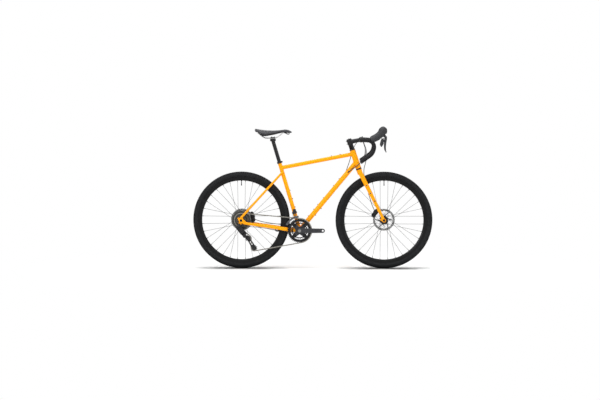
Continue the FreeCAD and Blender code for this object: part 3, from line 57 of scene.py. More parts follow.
# Places on the bike, in metres
rearAxle = Vector((-0.523, 0, 0.3555))
frontAxle = Vector((0.523, 0, 0.3555))
crankAxis = Vector((-0.094512, 0, 0.2805))
barCenter = Vector((0.354413, 0, 0.945566))


# Finishes: two tones mixed by noise or by rings, with roughness and bump from noise; the cassette's rings are painted
# shade at its cog steps

discSteel = {"dark": (0.1, 0.1, 0.1), "light": (0.24, 0.24, 0.235), "roughness": (0.26, 0.42), "metallic": 0.9,
             "grain": 120, "bump": 0.06, "bumpScale": 1500, "ringPitch": 0.0011}
finishes = {
    "framePaint": {"dark": (0.95, 0.355, 0.0), "light": (0.98, 0.37, 0.0), "roughness": (0.4, 0.46),
                   "specular": 0.12, "coat": 0.08, "coatRoughness": 0.1, "grain": 24, "bump": 0.003, "bumpScale": 500},
    "blackAlloy": {"dark": (0.008, 0.008, 0.009), "light": (0.016, 0.016, 0.018), "roughness": (0.32, 0.44),
                   "specular": 0.3, "metallic": 0.2, "grain": 60, "bump": 0.03, "bumpScale": 1500},
    "greyAlloy": {"dark": (0.022, 0.023, 0.026), "light": (0.036, 0.037, 0.041), "roughness": (0.36, 0.46),
                  "specular": 0.35, "metallic": 0.3, "grain": 60, "bump": 0.03, "bumpScale": 1500},
    "gearAlloy": {"dark": (0.007, 0.007, 0.008), "light": (0.02, 0.02, 0.022), "roughness": (0.3, 0.42),
                  "specular": 0.3, "metallic": 0.2, "grain": 60, "bump": 0.03, "bumpScale": 1500},
    "ringAlloy": {"dark": (0.004, 0.004, 0.005), "light": (0.011, 0.011, 0.012), "roughness": (0.32, 0.44),
                  "specular": 0.2, "metallic": 0.1, "grain": 60, "bump": 0.03, "bumpScale": 1500,
                  "ringCenter": crankAxis, "ringPitch": 0.013},
    "rimAlloy": {"dark": (0.003, 0.003, 0.003), "light": (0.006, 0.006, 0.007), "roughness": (0.34, 0.44),
                 "specular": 0.15, "grain": 30, "bump": 0.01, "bumpScale": 900},
    "tyreRubber": {"dark": (0.006, 0.0065, 0.007), "light": (0.012, 0.0125, 0.014), "roughness": (0.62, 0.78),
                   "specular": 0.16, "grain": 45, "bump": 0.12, "bumpScale": 900},
    "treadRubber": {"dark": (0.005, 0.005, 0.006), "light": (0.011, 0.011, 0.012), "roughness": (0.66, 0.8),
                    "specular": 0.16, "grain": 80, "bump": 0.12, "bumpScale": 1200},
    "spokeSteel": {"dark": (0.004, 0.004, 0.004), "light": (0.009, 0.009, 0.01), "roughness": (0.4, 0.52),
                   "specular": 0.12, "metallic": 0.1, "grain": 90, "bump": 0.02, "bumpScale": 1500},
    "driveSteel": {"dark": (0.13, 0.12, 0.105), "light": (0.3, 0.29, 0.26), "roughness": (0.3, 0.48),
                   "metallic": 0.9, "grain": 140, "bump": 0.05, "bumpScale": 1800},
    # cassette rings: painted shade, darker next to each smaller cog and lighter toward the teeth
    "cogSteelPaintedShade": {"dark": (0.006, 0.006, 0.006), "light": (0.1, 0.096, 0.085), "roughness": (0.34, 0.5),
                 "metallic": 0.7, "grain": 110, "bump": 0.05, "bumpScale": 1800,
                 "ringCenter": rearAxle, "ringPitch": 0.0182},
    "frontDiscSteel": {**discSteel, "ringCenter": frontAxle},
    "rearDiscSteel": {**discSteel, "ringCenter": rearAxle},
    "cageSteel": {"dark": (0.045, 0.045, 0.048), "light": (0.16, 0.16, 0.165), "roughness": (0.26, 0.4),
                  "metallic": 0.8, "grain": 90, "bump": 0.03, "bumpScale": 1500},
    "capAlloy": {"dark": (0.16, 0.16, 0.155), "light": (0.26, 0.26, 0.25), "roughness": (0.36, 0.48),
                 "metallic": 0.5, "grain": 120, "bump": 0.04, "bumpScale": 1500},
    "railSteel": {"dark": (0.3, 0.3, 0.3), "light": (0.48, 0.48, 0.48), "roughness": (0.26, 0.38),
                  "metallic": 0.85, "grain": 90, "bump": 0.02, "bumpScale": 1500},
    "boltSteel": {"dark": (0.1, 0.095, 0.085), "light": (0.2, 0.19, 0.17), "roughness": (0.3, 0.45),
                  "metallic": 0.8, "grain": 160, "bump": 0.03, "bumpScale": 1500},
    "hoodRubber": {"dark": (0.016, 0.017, 0.019), "light": (0.028, 0.029, 0.032), "roughness": (0.5, 0.64),
                   "specular": 0.3, "grain": 70, "bump": 0.2, "bumpScale": 1400},
    "tapeFoam": {"dark": (0.004, 0.004, 0.005), "light": (0.010, 0.010, 0.011), "roughness": (0.6, 0.76),
                 "specular": 0.2, "grain": 160, "bump": 0.35, "bumpScale": 1300},
    "bandTape": {"dark": (0.006, 0.006, 0.006), "light": (0.01, 0.01, 0.011), "roughness": (0.24, 0.34),
                 "specular": 0.4, "grain": 90, "bump": 0.06, "bumpScale": 700},
    "saddleCover": {"dark": (0.016, 0.016, 0.019), "light": (0.027, 0.027, 0.032), "roughness": (0.46, 0.58),
                    "specular": 0.35, "grain": 60, "bump": 0.25, "bumpScale": 1700},
    "mouldedPlastic": {"dark": (0.011, 0.011, 0.012), "light": (0.02, 0.02, 0.021), "roughness": (0.42, 0.55),
                       "grain": 60, "bump": 0.08, "bumpScale": 1600},
    "hoseJacket": {"dark": (0.009, 0.009, 0.01), "light": (0.017, 0.017, 0.018), "roughness": (0.3, 0.42),
                   "grain": 90, "bump": 0.04, "bumpScale": 1500},
    "padCompound": {"dark": (0.06, 0.05, 0.042), "light": (0.13, 0.11, 0.095), "roughness": (0.75, 0.9),
                    "grain": 600, "bump": 0.3, "bumpScale": 2000},
}
grainLook = {"detail": 4, "span": (0.3, 0.7), "roughGrain": 1.7, "bumpDepth": 0.001, "ringNoise": 0.3}
madeFinishes = {}


def linkInputs(tree, node, values):
    for socket, value in zip(node.inputs, values):
        if isinstance(value, bpy.types.NodeSocket):
            tree.links.new(value, socket)
        else:
            socket.default_value = value


def numberNode(tree, operation, *values):
    node = tree.nodes.new("ShaderNodeMath")
    node.operation = operation
    linkInputs(tree, node, values)
    return node.outputs["Value"]


def vectorNode(tree, operation, *values):
    node = tree.nodes.new("ShaderNodeVectorMath")
    node.operation = operation
    linkInputs(tree, node, values)
    return node.outputs["Value" if operation == "LENGTH" else "Vector"]


def mixedColour(tree, share, first, second):
    mixed = tree.nodes.new("ShaderNodeMix")
    mixed.data_type = "RGBA"
    tree.links.new(share, mixed.inputs[0])
    mixed.inputs[6].default_value = (*first, 1)
    mixed.inputs[7].default_value = (*second, 1)
    return mixed.outputs[2]


def rampedNoise(tree, coordinates, scale, low, high):
    noise = tree.nodes.new("ShaderNodeTexNoise")
    noise.inputs["Scale"].default_value = scale
    noise.inputs["Detail"].default_value = grainLook["detail"]
    tree.links.new(coordinates, noise.inputs["Vector"])
    spread = tree.nodes.new("ShaderNodeMapRange")
    spread.inputs["From Min"].default_value, spread.inputs["From Max"].default_value = grainLook["span"]
    spread.inputs["To Min"].default_value = low
    spread.inputs["To Max"].default_value = high
    tree.links.new(noise.outputs[0], spread.inputs["Value"])
    return spread.outputs["Result"]


# Rings round an axle. On the cassette, the dark part of each ring is painted shade at each cog's step.
def ringBandsAndStepShade(tree, coordinates, tone, settings):
    centred = vectorNode(tree, "SUBTRACT", coordinates, settings["ringCenter"])
    radius = vectorNode(tree, "LENGTH", vectorNode(tree, "MULTIPLY", centred, (1, 0, 1)))
    ring = numberNode(tree, "FRACT", numberNode(tree, "DIVIDE", radius, settings["ringPitch"]))
    return numberNode(tree, "MULTIPLY_ADD", tone, grainLook["ringNoise"], ring)  # rings, with a little of the noise


def makeFinish(name, settings):
    material = bpy.data.materials.new(name)
    material.use_nodes = True
    tree = material.node_tree
    shader = tree.nodes["Principled BSDF"]
    shader.inputs["Metallic"].default_value = settings.get("metallic", 0)
    shader.inputs["Coat Weight"].default_value = settings.get("coat", 0)
    shader.inputs["Coat Roughness"].default_value = settings.get("coatRoughness", 0.1)
    shader.inputs["Specular IOR Level"].default_value = settings.get("specular", 0.5)
    coordinates = tree.nodes.new("ShaderNodeTexCoord").outputs["Object"]
    tone = rampedNoise(tree, coordinates, settings["grain"], 0, 1)
    if "ringCenter" in settings:
        tone = ringBandsAndStepShade(tree, coordinates, tone, settings)
    tree.links.new(mixedColour(tree, tone, settings["dark"], settings["light"]), shader.inputs["Base Color"])
    rough = rampedNoise(tree, coordinates, settings["grain"] * grainLook["roughGrain"], *settings["roughness"])
    tree.links.new(rough, shader.inputs["Roughness"])
    bump = tree.nodes.new("ShaderNodeBump")
    bump.inputs["Strength"].default_value = settings["bump"]
    bump.inputs["Distance"].default_value = grainLook["bumpDepth"]
    tree.links.new(rampedNoise(tree, coordinates, settings["bumpScale"], 0, 1), bump.inputs["Height"])
    tree.links.new(bump.outputs["Normal"], shader.inputs["Normal"])
    madeFinishes[name] = material


for name, settings in finishes.items():
    makeFinish(name, settings)
print("finishes ready,", len(madeFinishes))

nodeFinishes = {
    "framePaint": ["head_tube", "top_tube", "down_tube", "seat_tube", "bottom_bracket_shell", "chainstays",
                   "seatstays", "dropouts", "fork_crown", "fork_blades"],
    "blackAlloy": ["seat_collar", "bearing_cups", "stem", "handlebar", "front_caliper", "rear_caliper", "seatpost",
                   "front_hub", "rear_hub", "front_derailleur_clamp", "front_derailleur_link", "front_thru_axle",
                   "rear_thru_axle"],
    "ringAlloy": ["chainrings"],
    "greyAlloy": ["right_crank_arm", "left_crank_arm", "right_brake_lever", "left_brake_lever",
                  "right_shift_paddle", "left_shift_paddle"],
    "gearAlloy": ["rear_derailleur_knuckle", "rear_derailleur_outer_link", "rear_derailleur_inner_link",
                  "rear_derailleur_pulley_knuckle", "rear_derailleur_cage"],
    "tyreRubber": ["front_tyre", "rear_tyre"],
    "rimAlloy": ["front_rim", "rear_rim"],
    "spokeSteel": ["front_spokes", "rear_spokes"],
    "frontDiscSteel": ["front_rotor"],
    "rearDiscSteel": ["rear_rotor"],
    "driveSteel": ["chain"],
    "cogSteelPaintedShade": ["cassette"],
    "boltSteel": ["bottle_bolts", "fork_bolts"],
    "hoodRubber": ["lever_hoods"],
    "tapeFoam": ["bar_tape"],
    "saddleCover": ["saddle_cover"],
    "mouldedPlastic": ["saddle_base", "guide_pulley", "tension_pulley"],
    "railSteel": ["saddle_rails"],
    "hoseJacket": ["front_brake_hose", "rear_brake_hose", "shift_housings"],
    "cageSteel": ["front_derailleur_cage"],
    "padCompound": ["front_brake_pads", "rear_brake_pads"],
}


def dress(obj, finish):
    if not obj.material_slots:
        obj.data.materials.append(madeFinishes[finish])
    for slot in obj.material_slots:
        slot.material = madeFinishes[finish]


for finish, nodes in nodeFinishes.items():
    for node in nodes:
        dress(frame["nodes"][node], finish)
print("nodes dressed")


# Shared modelling steps

mergeDistance = {"made": 0.00003, "node": 0.00001}


def selectNone():
    bpy.ops.object.select_all(action="DESELECT")


def selectOnly(obj):
    selectNone()
    obj.select_set(True)
    bpy.context.view_layer.objects.active = obj


def placed(name, data):
    obj = bpy.data.objects.new(name, data)
    bpy.context.scene.collection.objects.link(obj)
    selectOnly(obj)
    return obj


def applyPlace():
    bpy.ops.object.transform_apply(location=True, rotation=True, scale=True)


def applyAll(obj):
    bpy.context.view_layer.objects.active = obj
    for modifier in list(obj.modifiers):
        bpy.ops.object.modifier_apply(modifier=modifier.name)


def pickVerts(obj, test):
    mesh = bmesh.from_edit_mesh(obj.data)
    mesh.select_mode = {"VERT"}
    for vert in mesh.verts:
        vert.select = bool(test(vert.co))
    mesh.select_flush_mode()
    bmesh.update_edit_mesh(obj.data)


def pickFaces(obj, test):
    mesh = bmesh.from_edit_mesh(obj.data)
    mesh.select_mode = {"FACE"}
    for face in mesh.faces:
        face.select = bool(test(face.normal))
    mesh.select_flush_mode()
    bmesh.update_edit_mesh(obj.data)


def closeUp():  # the mesh in edit mode
    bpy.ops.mesh.select_all(action="SELECT")
    bpy.ops.mesh.remove_doubles(threshold=mergeDistance["made"])
    bpy.ops.mesh.normals_make_consistent(inside=False)


def joined(objects, name):
    selectNone()
    for obj in objects:
        obj.select_set(True)
    bpy.context.view_layer.objects.active = objects[0]
    bpy.ops.object.join()
    whole = bpy.context.object
    whole.name = name
    selectNone()
    return whole


def smoothed(obj, angle):
    selectOnly(obj)
    bpy.ops.object.shade_smooth_by_angle(angle=math.radians(angle))
    selectNone()


def bevelled(obj, width, segments=2, angle=30):
    edge = obj.modifiers.new("edge", "BEVEL")
    edge.width = width
    edge.segments = segments
    edge.limit_method = "ANGLE"
    edge.angle_limit = math.radians(angle)
    applyAll(obj)


def evened(obj, voxel):
    even = obj.modifiers.new("even", "REMESH")
    even.mode = "VOXEL"
    even.voxel_size = voxel
    applyAll(obj)


def eased(obj, times):
    ease = obj.modifiers.new("ease", "SMOOTH")
    ease.factor = 0.5
    ease.iterations = times
    applyAll(obj)


def nodeCopy(node, name):
    copy = placed(name, frame["nodes"][node].data.copy())
    bpy.ops.mesh.customdata_custom_splitnormals_clear()
    bpy.ops.object.mode_set(mode="EDIT")
    bpy.ops.mesh.select_all(action="SELECT")
    bpy.ops.mesh.remove_doubles(threshold=mergeDistance["node"])  # the node's mesh is loose triangles
    bpy.ops.object.mode_set(mode="OBJECT")
    return copy


# Tyres: a spun casing, one pitch of tread repeated round it, and a valve

tyre = {"sectionCenter": 0.333, "casing": 0.0211, "rimEdge": 0.3148, "ring": 56, "steps": 180, "wall": 0.0022,
        "pitches": 132, "knobSunk": 0.0008, "knobTaper": (0.78, 0.72, 1), "ridgeFrom": 92, "ridgeTo": 104,
        "ridge": 0.0007, "smooth": 35}
treadRows = [  # angle from the crown, length round the wheel, width across, height, shift in pitches
    (0, 0.0085, 0.0034, 0.0012, 0.0), (11, 0.0085, 0.0032, 0.0012, 0.5), (-11, 0.0085, 0.0032, 0.0012, 0.5),
    (22, 0.0090, 0.0032, 0.0012, 0.0), (-22, 0.0090, 0.0032, 0.0012, 0.0),
    (36, 0.0075, 0.0048, 0.0014, 0.5), (-36, 0.0075, 0.0048, 0.0014, 0.5),
    (52, 0.0080, 0.0056, 0.0014, 0.0), (-52, 0.0080, 0.0056, 0.0014, 0.0),
]
valve = {"rimFloor": 0.289, "tip": 0.2522, "stem": 0.0029, "stemInRim": 0.02, "cap": 0.0036, "capLength": 0.014,
         "nut": 0.0055, "nutLength": 0.0032, "nutBelow": 0.0034, "edge": 0.0006}


def makeCasing(axle):
    top = Vector((axle.x, 0, axle.z + tyre["sectionCenter"]))
    bpy.ops.mesh.primitive_circle_add(vertices=tyre["ring"], radius=tyre["casing"], location=top,
                                      rotation=(0, math.pi / 2, 0))
    casing = bpy.context.object
    applyPlace()
    bpy.ops.object.mode_set(mode="EDIT")
    pickVerts(casing, lambda co: co.z - axle.z < tyre["rimEdge"])
    bpy.ops.mesh.delete(type="VERT")

    def onRidge(co):
        angle = math.degrees(math.atan2(abs(co.y), co.z - top.z))
        return tyre["ridgeFrom"] < angle < tyre["ridgeTo"]

    pickVerts(casing, onRidge)  # raised line low on both side walls
    bpy.ops.transform.resize(value=(1, 1 + tyre["ridge"] / tyre["casing"], 1))
    bpy.ops.mesh.select_all(action="SELECT")
    bpy.ops.mesh.spin(steps=tyre["steps"], angle=2 * math.pi, center=axle, axis=(0, 1, 0))
    closeUp()
    bpy.ops.object.mode_set(mode="OBJECT")
    wall = casing.modifiers.new("wall", "SOLIDIFY")
    wall.thickness = tyre["wall"]
    wall.offset = -1
    applyAll(casing)
    dress(casing, "tyreRubber")
    return casing


def makeTread(axle):
    knobs = []
    pitchAngle = 2 * math.pi / tyre["pitches"]
    for lean, length, width, height, shift in treadRows:
        bpy.ops.mesh.primitive_cube_add(size=1)
        knob = bpy.context.object
        knob.scale = (length, width, height + tyre["knobSunk"])
        applyPlace()
        bpy.ops.object.mode_set(mode="EDIT")
        pickVerts(knob, lambda co: co.z > 0)
        bpy.ops.transform.resize(value=tyre["knobTaper"])  # sloped sides
        bpy.ops.object.mode_set(mode="OBJECT")
        turn = math.radians(lean)
        reach = tyre["casing"] + (height - tyre["knobSunk"]) / 2
        knob.rotation_euler = (-turn, 0, 0)
        knob.location = (0, reach * math.sin(turn), tyre["sectionCenter"] + reach * math.cos(turn))
        applyPlace()
        knob.rotation_euler = (0, pitchAngle * shift, 0)
        applyPlace()
        knobs.append(knob)
    tread = joined(knobs, "tread")
    bpy.ops.object.empty_add(location=(0, 0, 0), rotation=(0, pitchAngle, 0))
    turner = bpy.context.object
    around = tread.modifiers.new("around", "ARRAY")
    around.count = tyre["pitches"]
    around.use_relative_offset = False
    around.use_object_offset = True
    around.offset_object = turner
    applyAll(tread)
    bpy.data.objects.remove(turner)
    tread.location = axle
    selectOnly(tread)
    applyPlace()
    dress(tread, "treadRubber")
    return tread


def makeValve(axle):
    parts = []
    stemLength = valve["rimFloor"] - valve["tip"] - valve["capLength"] / 2
    for radius, length, low, sides in (
        (valve["stem"], stemLength + valve["stemInRim"], valve["rimFloor"] - stemLength, 20),
        (valve["cap"], valve["capLength"], valve["tip"], 20),
        (valve["nut"], valve["nutLength"], valve["rimFloor"] - valve["nutBelow"], 6),
    ):
        bpy.ops.mesh.primitive_cylinder_add(vertices=sides, radius=radius, depth=length,
                                            location=(axle.x, 0, axle.z + low + length / 2))
        part = bpy.context.object
        applyPlace()
        bevelled(part, valve["edge"])
        parts.append(part)
    stem = joined(parts, "valve")
    dress(stem, "blackAlloy")
    return stem


for name, axle in (("front", frontAxle), ("rear", rearAxle)):
    whole = joined([makeCasing(axle), makeTread(axle), makeValve(axle)], name + "TyreDressed")
    smoothed(whole, tyre["smooth"])
    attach(whole, name + "_wheel")
    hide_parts(name + "_tyre")
print("tyres made")


# Bar tape: a tube along the drop bar whose radius steps at every turn of the wrap

barTape = {"corners": [(0, -0.085, 0), (0, -0.195, 0), (0.106, -0.213, -0.006), (0.084, -0.225, -0.098),
                       (-0.001, -0.237, -0.157)],
           "bends": (0.030, 0.050, 0.080), "step": 0.0017, "ring": 30, "pitch": 0.0135, "low": 0.0136,
           "high": 0.0150, "swell": 0.6, "band": 0.014, "bandBelow": 0.0004, "smooth": 28}


def barLine(corners):
    points = []
    start = corners[0]
    for corner, after, radius in zip(corners[1:-1], corners[2:], barTape["bends"]):
        back = (start - corner).normalized()
        ahead = (after - corner).normalized()
        turn = math.pi - back.angle(ahead)
        enter = corner + back * radius * math.tan(turn / 2)
        leave = corner + ahead * radius * math.tan(turn / 2)
        hub = corner + (back + ahead).normalized() * radius / math.cos(turn / 2)
        count = round((enter - start).length / barTape["step"])
        points += [start.lerp(enter, k / count) for k in range(count)]
        axis = (enter - hub).cross(leave - hub).normalized()
        count = round(radius * turn / barTape["step"])
        points += [hub + Quaternion(axis, turn * k / count) @ (enter - hub) for k in range(count)]
        start = leave
    count = round((corners[-1] - start).length / barTape["step"])
    return points + [start.lerp(corners[-1], k / count) for k in range(count + 1)]


def wrapRadius(run, angle):
    if run < barTape["band"]:
        return barTape["high"] - barTape["bandBelow"]
    share = (run / barTape["pitch"] + angle / (2 * math.pi)) % 1
    return barTape["low"] + (barTape["high"] - barTape["low"]) * share ** barTape["swell"]


def makeTape(name, hand):
    line = barLine([barCenter + Vector((x, y * hand, z)) for x, y, z in barTape["corners"]])
    sides = barTape["ring"]
    verts, faces, bandFaces = [], [], 0
    across = Vector((1, 0, 0))
    run = 0
    for place, point in enumerate(line):
        heading = (line[min(place + 1, len(line) - 1)] - line[max(place - 1, 0)]).normalized()
        across = (across - heading * across.dot(heading)).normalized()
        up = heading.cross(across)
        run += (point - line[max(place - 1, 0)]).length
        for corner in range(sides):
            angle = 2 * math.pi * corner / sides
            reach = wrapRadius(run, angle * hand)
            verts.append(point + (across * math.cos(angle) + up * math.sin(angle)) * reach)
        if place:
            first = (place - 1) * sides
            for corner in range(sides):
                after = (corner + 1) % sides
                faces.append((first + corner, first + after, first + sides + after, first + sides + corner))
            bandFaces = len(faces) if run < barTape["band"] else bandFaces
    faces.append(tuple(range(sides)))
    faces.append(tuple(range(len(verts) - sides, len(verts))))
    mesh = bpy.data.meshes.new(name)
    mesh.from_pydata(verts, [], faces)
    tape = placed(name, mesh)
    bpy.ops.object.mode_set(mode="EDIT")
    closeUp()
    bpy.ops.object.mode_set(mode="OBJECT")
    mesh.materials.append(madeFinishes["tapeFoam"])
    mesh.materials.append(madeFinishes["bandTape"])
    for face in list(mesh.polygons)[:bandFaces]:  # a smooth band beside the stem
        face.material_index = 1
    smoothed(tape, barTape["smooth"])
    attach(tape, "steering")
    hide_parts("bar_tape")


makeTape("rightTape", 1)
makeTape("leftTape", -1)
print("bar tape wound")


# Saddle: a padded cover, swollen a little over its shell, with a relief channel

saddle = {"voxel": 0.0045, "shrink": 0.0006, "heldNormal": -0.4, "pressure": 4, "frames": 20, "cap": 0.0045, "ease": 5,
          "channel": 0.0035, "channelHalf": 0.012, "channelFrom": -0.395, "channelTo": -0.205, "topNormal": 0.4,
          "smooth": 60}


def swell(cover):
    held = cover.vertex_groups.new(name="held")  # the underside stays on its base
    held.add([vert.index for vert in cover.data.vertices if vert.normal.z < saddle["heldNormal"]], 1, "REPLACE")
    before = [vert.co.copy() for vert in cover.data.vertices]
    cloth = cover.modifiers.new("cloth", "CLOTH")
    cloth.settings.use_pressure = True
    cloth.settings.uniform_pressure_force = saddle["pressure"]
    cloth.settings.effector_weights.gravity = 0
    cloth.settings.vertex_group_mass = "held"
    for step in range(1, saddle["frames"] + 1):
        bpy.context.scene.frame_set(step)
    applyAll(cover)
    for vert, old in zip(cover.data.vertices, before):
        move = vert.co - old
        if move.length > saddle["cap"]:
            vert.co = old + move.normalized() * saddle["cap"]
    bpy.context.scene.frame_set(1)


def pressChannel(cover):
    middle = (saddle["channelFrom"] + saddle["channelTo"]) / 2
    half = (saddle["channelTo"] - saddle["channelFrom"]) / 2
    for vert in cover.data.vertices:
        along = abs(vert.co.x - middle) / half
        across = abs(vert.co.y) / saddle["channelHalf"]
        if vert.normal.z > saddle["topNormal"] and along < 1 and across < 1:
            vert.co.z -= saddle["channel"] * (1 - along ** 6) * (1 - across ** 2) ** 2  # even along, round across


def makeSaddle():
    cover = nodeCopy("saddle_cover", "saddlePad")
    bpy.ops.object.mode_set(mode="EDIT")
    bpy.ops.mesh.select_all(action="SELECT")
    bpy.ops.transform.shrink_fatten(value=-saddle["shrink"])
    bpy.ops.object.mode_set(mode="OBJECT")
    evened(cover, saddle["voxel"])
    swell(cover)
    eased(cover, saddle["ease"])
    finer = cover.modifiers.new("finer", "SUBSURF")
    finer.levels = 1
    finer.render_levels = 1
    applyAll(cover)
    pressChannel(cover)
    dress(cover, "saddleCover")
    smoothed(cover, saddle["smooth"])
    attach(cover, "seat")
    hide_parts("saddle_cover")


makeSaddle()
print("saddle padded")


# Lever hoods: soft rubber over the solids' shape, ribbed on both sides

hood = {"voxel": 0.0016, "ease": 9, "rib": 0.00045, "ribPitch": 0.0056, "ribFrom": 0.076, "ribTo": 0.135,
        "ribSlant": (0.94, 0.34), "ribFloor": -0.3, "sideNormal": 0.55, "pinLength": 0.02, "smooth": 45}


def ribbed(vert):
    run = vert.co.x - barCenter.x
    rise = vert.co.z - barCenter.z
    if abs(vert.normal.y) < hood["sideNormal"] or not hood["ribFrom"] < run < hood["ribTo"]:
        return
    ahead, down = hood["ribSlant"]
    wave = math.sin(2 * math.pi * (run * ahead - rise * down) / hood["ribPitch"])
    vert.co += vert.normal * hood["rib"] * max(wave, hood["ribFloor"])


def makeHoods():
    nodeCopy("lever_hoods", "hoodShells")
    bpy.ops.object.mode_set(mode="EDIT")
    bpy.ops.mesh.separate(type="LOOSE")
    bpy.ops.object.mode_set(mode="OBJECT")
    loose = list(bpy.context.selected_objects)
    for name, hand in (("rightHood", -1), ("leftHood", 1)):
        parts = [part for part in loose if part.data.vertices[0].co.y * hand > 0]
        for part in parts:
            if part.dimensions.x < hood["pinLength"]:
                dress(part, "boltSteel")  # pivot pin
                continue
            evened(part, hood["voxel"])
            eased(part, hood["ease"])
            for vert in part.data.vertices:
                ribbed(vert)
            dress(part, "hoodRubber")
        parts.sort(key=lambda part: -part.dimensions.x)
        whole = joined(parts, name)
        smoothed(whole, hood["smooth"])
        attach(whole, "steering")
        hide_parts("lever_hoods")


makeHoods()
print("hoods moulded")


# Hard pieces with softened edges

softEdges = {  # edge width at each node
    "right_brake_lever": 0.0022, "left_brake_lever": 0.0022, "right_shift_paddle": 0.0007,
    "left_shift_paddle": 0.0007, "front_caliper": 0.002, "rear_caliper": 0.002, "rear_derailleur_knuckle": 0.0016,
    "rear_derailleur_outer_link": 0.0016, "rear_derailleur_inner_link": 0.0010,
    "rear_derailleur_pulley_knuckle": 0.0016, "rear_derailleur_cage": 0.0005, "front_derailleur_clamp": 0.0008,
    "front_derailleur_link": 0.0008, "right_crank_arm": 0.0018, "left_crank_arm": 0.0018, "stem": 0.0014,
    "fork_crown": 0.0035, "dropouts": 0.0012, "seatpost": 0.0015, "seat_collar": 0.0008, "saddle_base": 0.0008,
}
softLook = {"flatAngle": 1.5, "segments": 3, "edgeAngle": 38, "smooth": 35}
broadLink = {"node": "rear_derailleur_outer_link", "grow": 1.35, "across": Vector((0.736, 0, 0.677))}
cageEnd = {"node": "rear_derailleur_cage", "from": 0.005, "reach": 0.024, "grow": 1.55}  # round the tension pulley
cageSlot = {"length": 0.030, "width": 0.009, "depth": 0.022, "face": -0.039, "corner": 0.0042, "segments": 4}
bodyOf = {node: body for body, nodes in frame["record"]["behaviour"]["bodies"].items() for node in nodes}
finishOf = {node: finish for finish, nodes in nodeFinishes.items() for node in nodes}


def middleOf(node):
    low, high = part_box(node)
    return (Vector(low) + Vector(high)) / 2


def broaden(link):
    middle = middleOf(broadLink["node"])
    across = broadLink["across"]
    for vert in link.data.vertices:
        vert.co += across * (vert.co - middle).dot(across) * (broadLink["grow"] - 1)


def roundEnd(plates):
    pulley = middleOf("tension_pulley")
    for vert in plates.data.vertices:
        off = Vector((vert.co.x - pulley.x, 0, vert.co.z - pulley.z))
        if cageEnd["from"] < off.length < cageEnd["reach"]:
            vert.co += off * (cageEnd["grow"] - 1)


def cutSlot(plates):
    upper, lower = middleOf("guide_pulley"), middleOf("tension_pulley")
    run = lower - upper
    middle = (upper + lower) / 2
    selectNone()
    bpy.ops.mesh.primitive_cube_add(size=1, location=(middle.x, cageSlot["face"], middle.z),
                                    rotation=(0, -math.atan2(run.z, run.x), 0),
                                    scale=(cageSlot["length"], cageSlot["depth"], cageSlot["width"]))
    cutter = bpy.context.object
    applyPlace()
    bevelled(cutter, cageSlot["corner"], cageSlot["segments"])
    slot = plates.modifiers.new("slot", "BOOLEAN")
    slot.operation = "DIFFERENCE"
    slot.solver = "EXACT"
    slot.object = cutter
    applyAll(plates)
    bpy.data.objects.remove(cutter)


def softenEdges(node, width):
    words = node.split("_")
    copy = nodeCopy(node, words[0] + "".join(word.capitalize() for word in words[1:]) + "Soft")
    bpy.ops.object.mode_set(mode="EDIT")
    bpy.ops.mesh.select_all(action="SELECT")
    bpy.ops.mesh.dissolve_limited(angle_limit=math.radians(softLook["flatAngle"]))
    bpy.ops.object.mode_set(mode="OBJECT")
    if node == broadLink["node"]:
        broaden(copy)
    if node == cageEnd["node"]:
        roundEnd(copy)
        cutSlot(copy)
    bevelled(copy, width, softLook["segments"], softLook["edgeAngle"])
    dress(copy, finishOf[node])
    smoothed(copy, softLook["smooth"])
    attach(copy, bodyOf[node])
    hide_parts(node)


for node, width in softEdges.items():
    softenEdges(node, width)
print("edges softened")


# Hoses, housings and saddle rails, points in millimetres

hoses = {
    "frontBrakeHose": {"node": "front_brake_hose", "radius": 0.0025, "bodies": ["steering"], "points": [
        (366.9, 92, 933), (388, 76, 892), (398, 65, 842), (392, 60, 785), (374, 60, 728), (378, 61, 668),
        (392, 62, 610), (408, 64, 555), (424, 63, 500), (440, 56, 452), (456, 50, 418)]},
    "rearBrakeHoseAhead": {"node": "rear_brake_hose", "radius": 0.0025, "bodies": ["steering", "frame"], "points": [
        (338.2, 92, 938), (316, 74, 916), (298, 54, 880), (284, 38, 838), (272, 30, 792), (258, 25, 750),
        (241, 9, 704)]},
    "rearBrakeHoseBehind": {"node": "rear_brake_hose", "radius": 0.0025, "bodies": ["frame"], "points": [
        (-120, 34, 315), (-160, 40, 318), (-215, 48, 318), (-285, 56, 324), (-355, 64, 334), (-405, 68, 346),
        (-432, 68, 358)]},
    "rearShiftHousing": {"node": "shift_housings", "radius": 0.002, "bodies": ["steering", "frame"], "points": [
        (367, -92, 933), (386, -68, 884), (388, -52, 834), (368, -38, 796), (332, -30, 762), (296, -28, 738),
        (263, -20, 712)]},
    "frontShiftHousing": {"node": "shift_housings", "radius": 0.002, "bodies": ["steering", "frame"], "points": [
        (371.5, -88, 938), (386, -59, 884), (382, -43, 834), (363, -34, 792), (332, -30, 755), (296, -28, 731),
        (259, -20, 705)]},
    "derailleurHousing": {"node": "shift_housings", "radius": 0.002, "bodies": ["frame"], "points": [
        (-101, -25, 258.4), (-135, -29, 261.6), (-180, -36, 271), (-250, -46, 283), (-330, -55.4, 295.2),
        (-400, -64, 305.8), (-440, -78, 309), (-472, -89, 312), (-500, -94, 314.5), (-526, -94, 316.5)]},
}
hoseLook = {"finish": "hoseJacket", "slot": "hose_jacket"}
rail = {"node": "saddle_rails", "radius": 0.0035, "bodies": ["seat"], "finish": "railSteel", "slot": "rail_steel"}
railPoints = [(-401, 40, 995), (-372, 30, 971), (-352, 24, 957), (-338, 23, 955.7), (-290, 23, 955.7),
              (-272, 23, 956.5), (-252, 20, 968), (-212, 14, 998)]  # left rail
tubeLook = {"steps": 10, "roundness": 3, "smooth": 50}


def startCurve(name, kind, points):
    curve = bpy.data.curves.new(name, "CURVE")
    curve.dimensions = "3D"
    line = curve.splines.new(kind)
    line.points.add(len(points) - 1)
    for place, point in zip(line.points, points):
        place.co = (*point, 1)
    return curve, line


